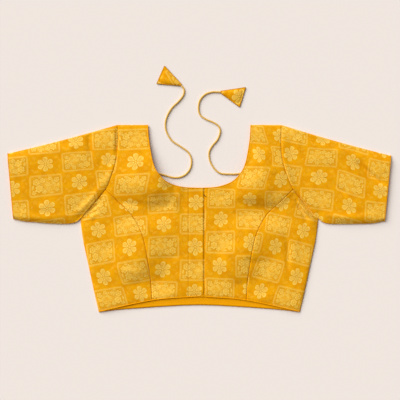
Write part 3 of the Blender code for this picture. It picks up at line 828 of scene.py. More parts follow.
def flower(x, y):
    """The large six-petalled flower: (petals, the dark lines on and between them)."""
    r = distance(x, y)
    sixth = math.pi / 3
    angle = (x.towards(y) + sixth / 2).remainder(sixth) - sixth / 2
    out, across = r * angle.cosine(), (r * angle.sine()).size()
    body = ((out - 9.0) / 6.6).squared() + (across / (out * 0.26 + 2.1)).squared()
    petals = body.falling(0.88, 1.04) * (body.rising(0.4, 0.66) * 0.45 + 0.55)
    from_side = r * (sixth / 2 - angle.size()).sine()
    apart = from_side.falling(0.45, 1.05) * r.rising(2.2, 3.2) * r.falling(11.5, 13.5)
    vein = across.falling(0.2, 0.6) * out.rising(5.0, 6.5) * out.falling(9.5, 11.5)
    eye, eye_line = r.falling(1.3, 1.8), r.rising(1.5, 1.9) * r.falling(2.4, 2.9)
    return either(petals, eye), either(apart, vein * 0.55, eye_line * 0.6)


def flower_cell(x, y):
    """(petals, dark lines, sprigs) of a cell that holds the large flower on plain ground."""
    petals, veins = flower(x, y)
    (bud, bud_line), (other_bud, other_line) = (rosette(x, y, *row) for row in BUDS)
    sprigs = either(bud, other_bud * 0.8, *(leaf(x, y, *row) for row in SPRIGS))
    return petals, either(veins, either(bud_line, other_line) * 0.5), sprigs


def framed_cell(x, y, flip_x, flip_y):
    """(frame, blossoms, medallion, dark lines, inside) of a framed cell. The flips are -1 or 1."""
    reach_x, reach_y = x.size() - FRAME_HALF[0], y.size() - FRAME_HALF[1]
    corner = distance(reach_x.most(0), reach_y.most(0))
    outside = corner + reach_x.most(reach_y).least(0) - FRAME_CORNER
    x, y = x * flip_x, y * flip_y
    notches = (x * 1.5).sine() * (y * 1.5).sine()
    frame = outside.falling(2.4, 3.5) * outside.rising(-0.9, 0.2) * (notches * 0.25 + 0.75)
    inside = outside.falling(-1.6, -0.6)
    frame_shade = outside.rising(-2.0, -1.4) * outside.falling(-1.0, -0.5)

    mx, my = x + 2.0, y - 0.5
    around = mx.towards(my)
    eighth, beading = (around * 8).cosine(), (around * 26).cosine()
    oval = distance(mx / MEDALLION_HALF[0], my / MEDALLION_HALF[1])
    past = oval - ((around * 13).cosine() * 0.045 + 1.0)
    medallion = past.falling(-0.1, 0.04)
    beads = past.rising(-0.26, -0.2) * past.falling(-0.12, -0.06) * beading.rising(-0.2, 0.6)
    inner = oval - (eighth * 0.12 + 0.56)
    scallops = inner.rising(-0.1, -0.03) * inner.falling(0.0, 0.07)
    spokes = eighth.falling(-0.97, -0.75) * oval.rising(0.22, 0.3) * oval.falling(0.44, 0.52)

    discs, lines = zip(*(rosette(x, y, *row) for row in BLOSSOMS))
    blossoms, sprays = either(*discs), either(*(leaf(x, y, *row) for row in SPRAYS))
    raised = either(blossoms, sprays * 0.7, beads * medallion * 0.7) * inside
    pattern = either(scallops * 0.7, spokes * 0.6) * medallion * (1 - blossoms)
    dark = either(either(*lines) * (1 - blossoms * 0.7), pattern) * inside
    return frame, raised, medallion * inside, either(dark, frame_shade * 0.6), inside


def brocade_material():
    """Marigold satin with the repeat floated on it in pale gold thread."""
    material, tree = new_material("brocade", Sheen_Weight=0.03, Specular_Tint=GOLD_GLOSS)
    column, row = cloth_place(tree)
    near_column, near_row = (column + 0.5).floor(), (row + 0.5).floor()
    warp, weft = (column - near_column) * REPEAT_WIDTH, (row - near_row) * REPEAT_HEIGHT
    x, y = (((place / DRAWN_STEP).floor() + 0.5) * DRAWN_STEP for place in (warp, weft))
    framed = (near_column + near_row).remainder(2).rising(0.4, 0.6)
    open_cell = 1 - framed
    chance = noise(near_column * 3.7 + 0.3, near_row * 5.3 + 0.7, detail=0)
    other_chance = noise(near_column * 2.9 + 7.7, near_row * 4.1 + 3.1, detail=0)
    flips = (value.over(0.5) * 2 - 1 for value in (chance, other_chance))

    petals, veins, sprigs = flower_cell(x, y)
    frame_line, blossoms, medallion, lines, inside = framed_cell(x, y, *flips)

    mottle = noise(column * 3.1, row * 2.3, detail=3)
    streak = noise(column * 90.0, row * 2.0, detail=2)
    worn = noise(column * 13.0, row * 10.0, 4.0, detail=4, roughness=0.7)
    shadow = noise(column * 8.0, row * 6.5, 9.0, detail=2)
    speck = noise(column * 26.0, row * 18.0, 2.0, detail=3, roughness=0.6)

    lit = medallion * shadow.falling(0.38, 0.62) * 0.5
    bright = either(petals * open_cell, either(blossoms * 0.85, frame_line * 0.55, lit) * framed)
    dull = either(sprigs * open_cell * 0.7, medallion * framed)
    dark = either(veins * open_cell, lines * framed * 0.8)
    gaps = inside * framed * (1 - medallion)

    colour = mixed(mottle.rising(0.35, 0.65), GROUND_DEEP, GROUND)
    for share, over in (
        (shadow.rising(0.5, 0.7) * open_cell * 0.3, GOLD_DULL),
        (gaps * shadow.rising(0.4, 0.62) * 0.35, GAP),
        (framed * (inside * 0.4 + 0.15), GOLD_DULL),
        (dull * (worn.rising(0.3, 0.6) * 0.4 + 0.45), GOLD_DULL),
        (bright * (worn.rising(0.33, 0.59) * 0.55 + 0.45), GOLD),
        (dark * (speck.rising(0.3, 0.6) * 0.4 + 0.35), OUTLINE),
        (speck.rising(0.45, 0.65) * 0.3 + streak.rising(0.3, 0.7) * 0.1, SHADED),
    ):
        colour = mixed(share, colour, over)

    gold = either(bright, dull * 0.7)
    satin = ((column * REPEAT_WIDTH / SATIN_STEP) * 2 * math.pi).sine()
    shifted = row * REPEAT_HEIGHT / FLOAT_STEP[1] + (column * REPEAT_WIDTH / FLOAT_STEP[0]).floor() * 0.5
    weave = satin * (1 - gold) * 0.12 + (shifted * 2 * math.pi).sine() * gold * 0.2
    bump_shader(gold * 0.8 + weave - dark * 0.3 + speck * 0.5, 0.22)
    dress(tree, Base_Color=colour, Roughness=streak * 0.08 + 0.52, Specular_IOR_Level=gold * 0.6 + 0.05)
    return material


def plain_material(name, colour, deep, thread):
    """Plain woven cloth, on which the coordinates are millimetres."""
    material, tree = new_material(name, Roughness=0.62, Sheen_Weight=0.03)
    along, across = cloth_place(tree)
    mottle = noise(along * 0.05, across * 0.08, detail=3)
    slub = noise(along * 0.15, across * 2.0, detail=2)
    over = (along / thread * math.pi).sine() * (across / thread * math.pi).sine()
    dress(tree, Base_Color=mixed(mottle * 0.5 + slub * 0.4, deep, colour))
    bump_shader(over * 0.5 + slub * 0.3, 0.12)
    return material


def cord_material():
    """Yarn twisted in strands, with painted shade in the grooves between the strands, their crowns painted
    lighter, and darker fibres at random. The coordinates are millimetres along, and turns round.
    """
    material, tree = new_material("cord", Roughness=0.55, Sheen_Weight=0.1)
    along, around = cloth_place(tree)
    strand = ((around * TIE_STRANDS - along / TIE_TWIST * TIE_STRANDS) * 2 * math.pi).cosine()
    fibre = noise(along * 2.5, around * 9.0, detail=3)
    # Painted shade: the dark colour falls where the twisted section has its grooves, and the light colour falls
    # on the strands' crowns
    lit = mixed(strand.rising(-0.9, 0.3), CORD_FIBRE_AND_GROOVE_SHADE, CORD_LIT_CROWN)
    dress(tree, Base_Color=mixed(fibre * 0.35, lit, CORD_FIBRE_AND_GROOVE_SHADE))
    bump_shader(fibre, 0.15, strength=0.6)
    return material


def metal_material():
    """Dark wire, rubbed brighter in places."""
    material, tree = new_material("hook_metal", Roughness=0.45, Metallic=0.25)
    along, around = cloth_place(tree)
    rub = noise(along * 0.8, around * 3.0, detail=3)
    dress(tree, Base_Color=mixed(rub, HOOK_METAL, tuple(c * 1.6 for c in HOOK_METAL)))
    return material


# ================================================== cloth pieces


def dense_ends(length, first=True, last=True, cell=CELL):
    """Shares of a length: close together beside a free end, and a cell apart between."""
    steps = np.array(EDGE_STEPS)
    low = steps if first else steps[:1]
    high = length - steps[::-1] if last else np.array([length])
    count = max(2, round((high[0] - low[-1]) / cell) + 1)
    return np.concatenate([low[:-1], np.linspace(low[-1], high[0], count), high[1:]]) / length


def row_shares(starts, ends):
    """For each row the shares of its points, close together beside its ends even on a short row."""
    widths = np.linalg.norm(ends - starts, axis=1)
    count, edge = len(dense_ends(widths.max())), len(EDGE_STEPS)
    shares = np.empty((len(starts), count))
    for i, width in enumerate(widths):
        near = np.minimum(np.array(EDGE_STEPS) / width, 0.3 * np.arange(edge) / (edge - 1))
        middle = np.linspace(near[-1], 1 - near[-1], count - 2 * edge + 2)
        shares[i] = np.concatenate([near[:-1], middle, 1 - near[::-1][1:]])
    return shares


def plan_grid(starts, ends, hem=None):
    """Points of a panel in plan. The rows bend until the last one lies on the hem."""
    shares = row_shares(starts, ends)[..., None]
    grid = starts[:, None, :] * (1 - shares) + ends[:, None, :] * shares
    if hem is not None:
        bend = hem(grid[-1, :, 0]) - grid[-1, :, 1]
        grid[..., 1] += np.linspace(0, 1, len(grid))[:, None] ** 4 * bend
    return grid


def down_columns(plan):
    """Distance down each column of a grid, at each of its points."""
    return np.array([lengths(column) for column in plan.transpose(1, 0, 2)]).T


def rolled(grid, edges):
    """How far each point of a panel drops beside its edges, with the puckers of the seams."""
    across, down = np.array([lengths(row) for row in grid]), down_columns(grid)
    from_edge = {
        "start": (across, down),
        "end": (across[:, -1:] - across, down),
        "first": (down, across),
        "last": (down[-1:, :] - down, across),
    }
    drop = np.zeros(grid.shape[:2])
    for name, (depth, reach, pucker) in edges.items():
        inward, along = from_edge[name]
        wave = np.sin(2 * np.pi * along / PUCKER_LENGTH + 1.7 * np.sin(along / 23.0))
        wave *= 0.6 + 0.4 * np.sin(along / 17.0)
        drop += ridge(inward, depth, reach)
        drop -= pucker * wave * np.exp(-inward / PUCKER_REACH) * (1 - np.exp(-inward / PUCKER_START))
    return drop


def panel(name, starts, ends, lay, edges, hem=None, top=front_top, materials=None, thickness=SHELL):
    """A cloth panel between two edges, thickened down from its top."""
    grid = plan_grid(starts, ends, hem)
    height = pressed(top(grid[..., 0], grid[..., 1]) - rolled(grid, edges))
    points, repeats = upward(np.dstack([grid, height]), lay(grid))
    return thicken(grid_piece(name, points, repeats, materials or [BROCADE, PLAIN_CLOTH]), thickness)


def grid_piece(name, points, repeats, materials, closed=False):
    """A surface over a grid of points. A closed grid joins its last column to its first."""
    faces, corners = grid_faces(*points.shape[:2], closed)
    return mesh_piece(name, points.reshape(-1, 3), faces, at_corners(repeats, corners), materials)


def neck_line(knots, shares, inset, last_x):
    """A half neckline from the shoulder to x = last_x, moved into the cloth."""
    outline = Curve(knots)
    keep = outline.fine[outline.fine[:, 0] > last_x]
    line = moved_out(Curve(np.vstack([keep, [(last_x, outline.height_at(last_x))]])).share(shares), inset)
    line[0, 1] = SHOULDER_Y
    line[-1, 0] = last_x
    return line


def hem_at(raise_by):
    curve = Curve(FRONT_HEM)
    return lambda x: curve.height_at(np.abs(x)) + raise_by


def join_lines(first, second):
    return np.vstack([first, second[1:]])


def front_panels():
    """The centre and side fronts, with the seams shared point for point."""
    armhole, princess_at_hem = Curve(ARMHOLE), Curve(FRONT_HEM).height_at(PRINCESS_HEM_X) + PIPING_RADIUS
    upper_shares = dense_ends(armhole.knots[PRINCESS_KNOT], last=False)
    princess = Curve([*PRINCESS, (PRINCESS_HEM_X, princess_at_hem)])
    lower_shares = dense_ends(princess.along[-1], first=False)
    upper = armhole.between(0, PRINCESS_KNOT, upper_shares)
    seam = princess.share(lower_shares)
    hem = hem_at(PIPING_RADIUS)
    outer = join_lines(moved_out(upper, -SPLIT / 2), moved_out(seam, -SPLIT / 2))
    side_lines = side_front_edges(armhole, seam, lower_shares)
    pieces = {}
    for name, side, front_x, opening in (
        ("left", -1, HOOK_SEAM_X, TOP_SEWN),
        ("right", 1, RIGHT_FRONT_X, PIPED),
    ):
        neck = neck_line(FRONT_NECK, upper_shares, PIPING_RADIUS, side * front_x)
        middle_y = neck[-1, 1] + (hem(front_x) - neck[-1, 1]) * lower_shares
        inner = join_lines(neck, paired(side * front_x, middle_y))
        for part, lines, edges in (
            ("centre", (outer, inner), {"start": SEAM, "end": opening, "first": JOINED, "last": PIPED}),
            ("side", side_lines, {"start": JOINED, "end": SEAM, "last": PIPED}),
        ):
            key, placed = f"front_{part}_{name}", (mirrored(line, side) for line in lines)
            pieces[key] = panel(key, *placed, LAYS[f"{part}_{name}"], edges, hem)
    return pieces


def side_front_edges(armhole, seam, shares):
    """(armhole and side seam, princess seam) of a side front, from its tip to the hem."""
    shares = np.maximum(shares, TIP_SHARE)
    side_curve = Curve([*SIDE_SEAM[:-1], (SIDE_SEAM[-1][0], SIDE_SEAM[-1][1] + PIPING_RADIUS)])
    at_armhole = shares[shares < CORNER_SHARE] / CORNER_SHARE
    at_side = (shares[shares >= CORNER_SHARE] - CORNER_SHARE) / (1 - CORNER_SHARE)
    on_armhole = moved_out(armhole.between(PRINCESS_KNOT, -1, at_armhole), -SPLIT / 2)
    on_side = moved_out(side_curve.share(at_side), -SPLIT / 2)
    inner = moved_out(seam, SPLIT / 2)
    inner[0] = seam[0] + (seam[1] - seam[0]) * 0.3
    return np.vstack([on_armhole, on_side]), inner


def plackets():
    """The hook strip over the opening and the eye strip under it."""
    top_y = neck_line(FRONT_NECK, np.linspace(0, 1, 40), PIPING_RADIUS, 0.0)[-1, 1]
    hem = hem_at(PIPING_RADIUS)
    shares = dense_ends(top_y - hem(0.0))

    def strip(name, left_x, right_x, high_y, low_y, **options):
        ys = high_y + (low_y - high_y) * shares
        return panel(name, paired(left_x, ys), paired(right_x, ys), LAYS["centre_left"], **options)

    def lifted(x, y):
        rise = HOOK_LIFT * (0.65 + 0.35 * np.cos(2 * np.pi * (y - HOOK_TOP_Y) / HOOK_SPACING))
        return front_top(x, y) + ridge(x, rise, HOOK_LIFT_REACH, HOOK_EDGE_X)

    edges = {"start": STRIP_SEWN, "end": STRIP_FOLD, "first": PIPED, "last": PIPED}
    hook_ends, eye_ends = (top_y, hem(0.0)), (top_y + 0.7, hem(0.0) + 0.3)
    return {
        "hook_placket": strip(
            "hook_placket", HOOK_SEAM_X + SPLIT, HOOK_EDGE_X, *hook_ends, edges=edges, hem=hem, top=lifted
        ),
        "eye_placket": strip(
            "eye_placket", *EYE_STRIP_X, *eye_ends, edges={},
            top=lambda x, y: front_height(x, y) - EYE_STRIP_DROP + CLOTH,
        ),
    }


def back_panel():
    """The back: two halves joined down the middle, flat on the floor."""
    armhole, side_curve, hem = Curve(ARMHOLE), Curve(SIDE_SEAM), Curve(BACK_HEM)
    upper_shares = dense_ends(armhole.along[-1], last=False)
    lower_shares = dense_ends(side_curve.along[-1], first=False)
    outer = moved_out(join_lines(armhole.share(upper_shares), side_curve.share(lower_shares)), -SEAM_GAP / 2)
    outer[-1] = SIDE_SEAM[-1]
    neck = neck_line(BACK_NECK, upper_shares, 2 * PRESSED_PIPING_RADIUS + SEAM_GAP, 0.0)
    middle_y = neck[-1, 1] + (hem.height_at(0.0) - neck[-1, 1]) * lower_shares
    half = plan_grid(outer, join_lines(neck, paired(0.0, middle_y)), lambda x: hem.height_at(np.abs(x)))
    halves, faces, uvs = [], [], []
    for side in (-1, 1):
        grid = half * (side, 1)
        points, repeats = upward(np.dstack([grid, np.full(grid.shape[:2], SHELL)]), LAYS["back"](grid))
        own, corners = grid_faces(*points.shape[:2])
        start = sum(len(other) for other in halves)
        faces += [tuple(i + start for i in face) for face in own]
        uvs.append(at_corners(repeats, corners))
        halves.append(points.reshape(-1, 3))
    piece = mesh_piece("back", np.vstack(halves), faces, np.vstack(uvs), [PLAIN_CLOTH, BROCADE])
    piece.modifiers.new("weld", "WELD").merge_threshold = WELD_REACH * MM
    return thicken(piece, SHELL)


def hem_lining():
    """The strip of plain lining inside the back's hem, turned under at its lower edge."""
    hem = Curve(BACK_HEM)
    xs = (dense_ends(2 * LINING_HALF_WIDTH, cell=LINING_CELL) * 2 - 1) * LINING_HALF_WIDTH
    low = paired(xs, hem.height_at(np.abs(xs)) + LINING_INSET)

    def top(x, y):
        above = y - hem.height_at(np.abs(x)) - LINING_INSET
        turn = ridge(above, 0.35, 0.8, LINING_TURN)
        ripple = 0.25 * np.sin(x / 9.0 + 1.3 * np.sin(x / 31.0)) * smooth_step((above - 5) / 10)
        return LINING_TOP - turn + ripple * 0.6

    return panel(
        "back_hem_lining", low, low + (0, LINING_DEPTH), lambda place: place, {"start": LINING_FOLD},
        top=top, materials=[PLAIN_CLOTH], thickness=LINING_SHELL,
    )


# ================================================== sleeves


def sleeve_lines(cuff_top, underarm):
    """(a sleeve's plan, in rings from the cuff to the armhole that start at its top fold; the rings' shares)"""
    seam = Curve(underarm)
    armhole = moved_out(Curve(ARMHOLE).share(np.linspace(0, 1, SLEEVE_COLUMNS)), SPLIT / 2)
    along = lengths(armhole)
    across = (along / along[-1])[None, :, None]
    top, bottom = np.array(cuff_top, float), seam.fine[0]
    t = dense_ends(math.dist(cuff_top, armhole[0]))[:, None, None]
    top_middle = (top + armhole[0]) / 2 - (0, TOP_FOLD_SAG)
    ruled = (top + (bottom - top) * across) * (1 - t) + armhole[None] * t
    top_shift = parabola(top, top_middle, armhole[0], t) - (top * (1 - t) + armhole[0] * t)
    low_line = seam.share(t[..., 0]) + (armhole[-1] - seam.fine[-1]) * t**SEAM_END_PULL
    bottom_shift = low_line - (bottom * (1 - t) + armhole[-1] * t)
    return ruled + top_shift * (1 - across) + bottom_shift * across, t[:, 0, 0]


def sleeve_tops(plan, t, side):
    """Heights of a sleeve's upper layer: low at both folds, and the body's own height at the armhole."""
    x, y = plan[..., 0], plan[..., 1]
    s = np.linspace(0, 1, plan.shape[1])[None, :]
    puff = smooth_step(s / PUFF_FROM_TOP) * smooth_step((1 - s) / PUFF_FROM_SEAM)
    own = SLEEVE_FOLD + SLEEVE_RISE * PUFF * puff
    body = np.maximum(front_height(x, y) + CLOTH, SLEEVE_FOLD)
    near_armhole = smooth_step((t[:, None] - BLEND_START) / BLEND_LENGTH)
    from_cuff = down_columns(plan)
    from_armhole = from_cuff[-1:, :] - from_cuff
    form = fine_form(side * x, y) * smooth_step(np.minimum(s, 1 - s) / CALM_FOLD)
    lift = ridge(from_armhole, *ARMHOLE_ROLL) * puff
    drop = ridge(from_armhole, *ARMHOLE_SEAM) * puff
    groove = ridge(from_cuff, *CUFF_GROOVE) * puff
    tops = own + (body - own) * near_armhole + form + lift - drop - groove
    return np.maximum(tops, SLEEVE_FOLD - SLEEVE_SINK * puff)


def sleeve(name, side, cuff_top, underarm):
    """(a flattened sleeve as one tube of cloth, open at both ends; the points round its cuff)"""
    plan, t = sleeve_lines(cuff_top, underarm)
    radius, lay = SLEEVE_FOLD / 2, LAYS[f"sleeve_{name}"]
    quarter = np.linspace(0, np.pi / 2, FOLD_STEPS)
    half = np.linspace(np.pi / 2, -np.pi / 2, 2 * FOLD_STEPS - 1)[1:-1]
    loops, coordinates = [], []
    for line, tops in zip(plan * (side, 1), sleeve_tops(plan, t, side)):
        top_end, low_end = (a + (b - a) / np.linalg.norm(b - a) * radius for a, b in (line[:2], line[:-3:-1]))
        layer = np.vstack([top_end, line[1:-1], low_end])
        rise = round_fold(low_end, line[-1], radius, quarter[:-1])
        over = round_fold(top_end, line[0], radius, half)
        back = round_fold(low_end, line[-1], radius, -quarter[::-1][1:-1])
        loop = np.vstack([rise, with_height(layer, tops)[::-1], over, with_height(layer, 0.0), back])
        repeats = lay(loop[:, :2])
        fold_row = lay(line[:1])[0, 1]
        turned_under = len(rise) + len(layer) + len(over) // 2
        repeats[turned_under:, 1] = 2 * fold_row - repeats[turned_under:, 1]
        loops.append(loop)
        coordinates.append(np.vstack([repeats, repeats[-1:]]))
    points, repeats = np.array(loops), np.array(coordinates)
    piece = grid_piece(f"sleeve_{name}", points, repeats, [BROCADE, PLAIN_CLOTH], closed=True)
    if max(piece.data.polygons, key=lambda face: face.center.z).normal.z < 0:
        piece.data.flip_normals()
    cuff = np.array([vertex.co[:] for vertex in piece.data.vertices[: points.shape[1]]]) / MM
    return thicken(piece, SHELL), cuff


def round_fold(centre, edge, radius, angles):
    """Points round a fold, from its outermost point (angle 0) up or down."""
    place = centre + (edge - centre) * np.cos(angles)[:, None]
    return with_height(place, radius + np.sin(angles) * radius)


# ================================================== tubes: piping and ties


def along_line(line, places):
    """Points at some distances along a line in space."""
    along = lengths(line)
    return np.stack([np.interp(places, along, line[:, k]) for k in range(3)], axis=1)


def end_faces(rings, sides):
    """The two faces that close the ends of a row of rings."""
    count = rings * sides
    return [tuple(range(sides)), tuple(range(count - 1, count - 1 - sides, -1))]


def tube(name, line, radius, material, sides=12, closed=False, section=None, step=None):
    """A round cord along points, whose coordinates are millimetres along and turns round.

    The section scales the radius by the distance along and the angle round.
    """
    line = np.asarray(line, float)
    if step:
        length = lengths(line)[-1]
        line = along_line(line, np.linspace(0, length, round(length / step) + 1))
    if closed:
        line = line[:-1]
    along = lengths(line)[:, None]
    onward = np.roll(line, -1, axis=0) - np.roll(line, 1, axis=0) if closed else np.gradient(line, axis=0)
    forward = unit(onward)
    sideways = unit(np.cross(forward, (0.0, 0.0, 1.0)))
    lifting = np.cross(sideways, forward)
    angle = np.linspace(0, 2 * np.pi, sides, endpoint=False)
    scale = section(along, angle[None, :]) if section else np.ones((len(line), sides))
    across, up = np.cos(angle)[None, :, None], np.sin(angle)[None, :, None]
    ring = sideways[:, None, :] * across + lifting[:, None, :] * up
    points = line[:, None, :] + ring * (radius * scale)[..., None]
    faces, corners = grid_faces(len(line), sides, closed=True)
    ends = end_faces(len(line), sides)
    if closed:
        last = (len(line) - 1) * sides
        ends = [(last + j, last + (j + 1) % sides, (j + 1) % sides, j) for j in range(sides)]
    coordinates = paired(along, np.arange(sides + 1)[None, :] / sides)
    uvs = np.vstack([at_corners(coordinates, corners), np.zeros((sum(map(len, ends)), 2))])
    return point_out(mesh_piece(name, points.reshape(-1, 3), faces + ends, uvs, [material]))


def gathered(along, angle):
    """Piping is not quite round: the covering cloth lies in faint slanting folds."""
    folds = np.sin(2 * np.pi * along / 3.7 + angle + np.sin(along / 11.0))
    return 1 + 0.012 * folds + 0.02 * np.sin(along / 5.3)


def piping(name, line, radius, closed=False):
    return tube(name, line, radius, PLAIN_CLOTH, section=gathered, closed=closed, step=PIPING_CELL)


def with_height(line, height):
    return np.column_stack([line, np.broadcast_to(height, len(line))])


def on_front(line):
    x, y = line[:, 0], line[:, 1]
    return with_height(line, front_height(x, y) + CLOTH / 2 + PIPING_LIFT + fine_form(x, y))


def pipings():
    """Piping round the front's neck and hem and the back's neck."""
    shares, hem = np.linspace(0, 1, 70), hem_at(PIPING_RADIUS)
    pieces = {}
    for name, side, start_x, end_x in (
        ("left", -1, -HOOK_SEAM_X, -HOOK_EDGE_X),
        ("right", 1, HOOK_EDGE_X + SEAM_GAP, None),
    ):
        line = neck_line(FRONT_NECK, shares, PIPING_RADIUS, start_x)
        if end_x is not None:
            xs = np.linspace(start_x, end_x, 14)[1:]
            top_y = neck_line(FRONT_NECK, shares, PIPING_RADIUS, 0.0)[-1, 1]
            ys = np.interp(xs, [end_x, 0, start_x], [top_y, top_y, line[-1, 1]])
            line = np.vstack([line, paired(xs, ys)])
        xs = np.linspace(SIDE_SEAM[-1][0] - 0.5, line[-1, 0], 90)
        for edge, route in (("neck", line), ("hem", paired(xs, hem(xs)))):
            key = f"{edge}_piping_{name}"
            pieces[key] = piping(key, on_front(mirrored(route, side)), PIPING_RADIUS)
    half = neck_line(BACK_NECK, np.linspace(0, 1, 90), PRESSED_PIPING_RADIUS, 0.0)
    back = with_height(np.vstack([half, mirrored(half[::-1], -1)[1:]]), PRESSED_PIPING_RADIUS)
    pieces["neck_piping_back"] = piping("neck_piping_back", back, PRESSED_PIPING_RADIUS)
    return pieces


def cuff_piping(name, cuff, side, cuff_top, underarm):
    """Piping round a cuff, on both layers and round both folds."""
    middle = (cuff[:, 2].max() + cuff[:, 2].min()) / 2
    ring = cuff + with_height(np.zeros((len(cuff), 2)), np.clip(middle - cuff[:, 2], -CLOTH / 2, CLOTH / 2))
    out = np.array((cuff_top[1] - underarm[0][1], underarm[0][0] - cuff_top[0]), float)
    out *= (PRESSED_PIPING_RADIUS + SEAM_GAP) / np.linalg.norm(out)
    ring[:, :2] += out * (side, 1)
    return piping(f"cuff_piping_{name}", np.vstack([ring, ring[:1]]), PRESSED_PIPING_RADIUS, closed=True)


# ================================================== ties and pendants


def twisted(along, angle):
    """Section of a cord of twisted strands."""
    phase = TIE_STRANDS * (angle - 2 * np.pi * along / TIE_TWIST) / 2
    return 0.80 + 0.20 * np.abs(np.cos(phase))


def tie(name, route):
    """(the twisted cord, its middle line)"""
    curve = Curve(route)
    flat = curve.at(np.linspace(0, curve.along[-1], round(curve.along[-1] / TIE_CELL)))
    middle = with_height(flat, TIE_RADIUS + TIE_LIFT)
    return tube(f"tie_{name}", middle, TIE_RADIUS, CORD, sides=18, section=twisted), middle


def pendant(name, route, far):
    """(a stuffed triangle of brocade, flat below; the whipped edge round it)"""
    curve = Curve(route)
    end, before = np.array(route[-1], float), curve.at(curve.along[-1] - TIE_STEP)
    heading = end + (end - before) / np.linalg.norm(end - before) * SEAM_GAP
    across = np.array(((end - before)[1], -(end - before)[0]))
    across *= PENDANT_NECK / 2 / np.linalg.norm(across)
    near = [heading - across, heading + across]
    far = [np.array(p, float) for p in far]
    if crosses(near[0], far[0], near[1], far[1]):
        near = near[::-1]
    v = dense_ends(math.dist(near[0], far[0]), cell=PENDANT_CELL)[:, None, None]
    u = dense_ends(math.dist(*far), cell=PENDANT_CELL)[None, :, None]
    start, stop = near[0] * (1 - v) + far[0] * v, near[1] * (1 - v) + far[1] * v
    plan = start * (1 - u) + stop * u
    v, u = v[..., 0], u[..., 0]
    swell = (np.sin(np.pi * u) * np.sin(np.pi * v)) ** 0.6
    edge = PENDANT_NECK + (PENDANT_EDGE - PENDANT_NECK) * np.minimum(1, 3 * v)
    x, y = plan[..., 0], plan[..., 1]
    dimple = 0.25 * np.sin(x / 2.3 + y / 4.1) * np.sin(y / 3.1 - x / 5.2) * swell
    top = edge + PENDANT_BULGE * swell + dimple - ridge(swell, *PENDANT_PINCH)
    corners = np.array([near[0], far[0], far[1], near[1], near[0]])
    seam = np.vstack([a + (b - a) * np.linspace(0, 1, 24)[:, None] for a, b in zip(corners, corners[1:])])
    seam = with_height(seam, PENDANT_EDGE * 0.8)
    whipping = tube(f"pendant_seam_{name}", seam, PENDANT_SEAM_RADIUS, WHIPPING, sides=8, section=twisted)
    return closed_pillow(f"pendant_{name}", plan, top, LAYS[f"pendant_{name}"](plan)), whipping


def closed_pillow(name, plan, top, repeats):
    """A closed mesh between the floor and some heights over a plan grid."""
    rows, columns = top.shape
    size = rows * columns
    faces, corners = grid_faces(rows, columns)
    rim = [(0, j) for j in range(columns)] + [(i, columns - 1) for i in range(1, rows)]
    rim += [(rows - 1, j) for j in range(columns - 2, -1, -1)] + [(i, 0) for i in range(rows - 2, 0, -1)]
    sides, side_corners = [], []
    for a, b in zip(rim, rim[1:] + rim[:1]):
        i, j = a[0] * columns + a[1], b[0] * columns + b[1]
        sides.append((i, j, j + size, i + size))
        side_corners.append((a, b, b, a))
    lower = [tuple(i + size for i in face[::-1]) for face in faces]
    uvs = at_corners(repeats, corners + [corner[::-1] for corner in corners] + side_corners)
    points = np.vstack([np.dstack([plan, height]).reshape(-1, 3) for height in (top, np.zeros(top.shape))])
    return point_out(mesh_piece(name, points, faces + lower + sides, uvs, [BROCADE]))


def crosses(a, b, c, d):
    """Whether the segments a-b and c-d cross."""

    def turn(p, q, r):
        return (q[0] - p[0]) * (r[1] - p[1]) - (q[1] - p[1]) * (r[0] - p[0])

    return turn(a, b, c) * turn(a, b, d) < 0 and turn(c, d, a) * turn(c, d, b) < 0


# ================================================== stitches and the hook


def stitch_row(name, line, length=STITCH_LENGTH, gap=STITCH_GAP, radius=STITCH_RADIUS):
    """A row of stitches along points on a surface, as one mesh of small round-ended grains."""
    shares, girths, sinks = np.array(GRAIN).T
    angle = np.linspace(0, 2 * np.pi, STITCH_SIDES, endpoint=False)
    own = grid_faces(len(GRAIN), STITCH_SIDES, closed=True)[0] + end_faces(len(GRAIN), STITCH_SIDES)
    points, faces = [], []
    for i in range(int(lengths(line)[-1] // (length + gap))):
        spine = along_line(line, (i + 0.5) * (length + gap) + shares * length)
        spine[:, 2] += radius * (GRAIN_LIFT - sinks)
        forward = (spine[-1] - spine[0]) / np.linalg.norm(spine[-1] - spine[0])
        sideways = np.cross(forward, (0, 0, 1))
        lifting = np.cross(sideways, forward)
        faces += [tuple(k + len(points) for k in face) for face in own]
        round_it = [sideways * math.cos(a) + lifting * math.sin(a) for a in angle]
        points += [point + out * radius * girth for point, girth in zip(spine, girths) for out in round_it]
    points = np.array(points)
    uvs = points[[i for face in faces for i in face]][:, :2]
    finished(point_out(mesh_piece(name, points, faces, uvs, [SEWING_THREAD])), "lining")


def on_top(line):
    """Points on the shown front's top."""
    return with_height(line, front_top(line[:, 0], line[:, 1]))


def stitching():
    """The rows that hold the piping, plackets and hems."""
    shares, hem = np.linspace(0, 1, 160), hem_at(HEM_STITCHES)
    for name, side, front_x in (("left", -1, 1.5 - HOOK_EDGE_X), ("right", 1, RIGHT_FRONT_X + 1.5)):
        neck = neck_line(FRONT_NECK, shares, NECK_STITCHES, max(front_x, 0.0))
        stitch_row(f"neck_stitches_{name}", on_top(mirrored(neck, side)))
        xs = np.linspace(SIDE_SEAM[-1][0] - 4, front_x, 200)
        stitch_row(f"hem_stitches_{name}", on_top(mirrored(paired(xs, hem(xs)), side)))
    for name, x in (("seam", HOOK_SEAM_X - 1.8), ("fold", HOOK_EDGE_X - 3.2)):
        stitch_row(f"placket_stitches_{name}", on_top(paired(x, np.linspace(*PLACKET_STITCHES, 160))))
    xs = np.linspace(6 - LINING_HALF_WIDTH, LINING_HALF_WIDTH - 6, 240)
    ys = Curve(BACK_HEM).height_at(np.abs(xs)) + LINING_INSET + LINING_TURN
    stitch_row("lining_stitches", with_height(paired(xs, ys), LINING_TOP - 0.3), length=2.6, gap=1.2)


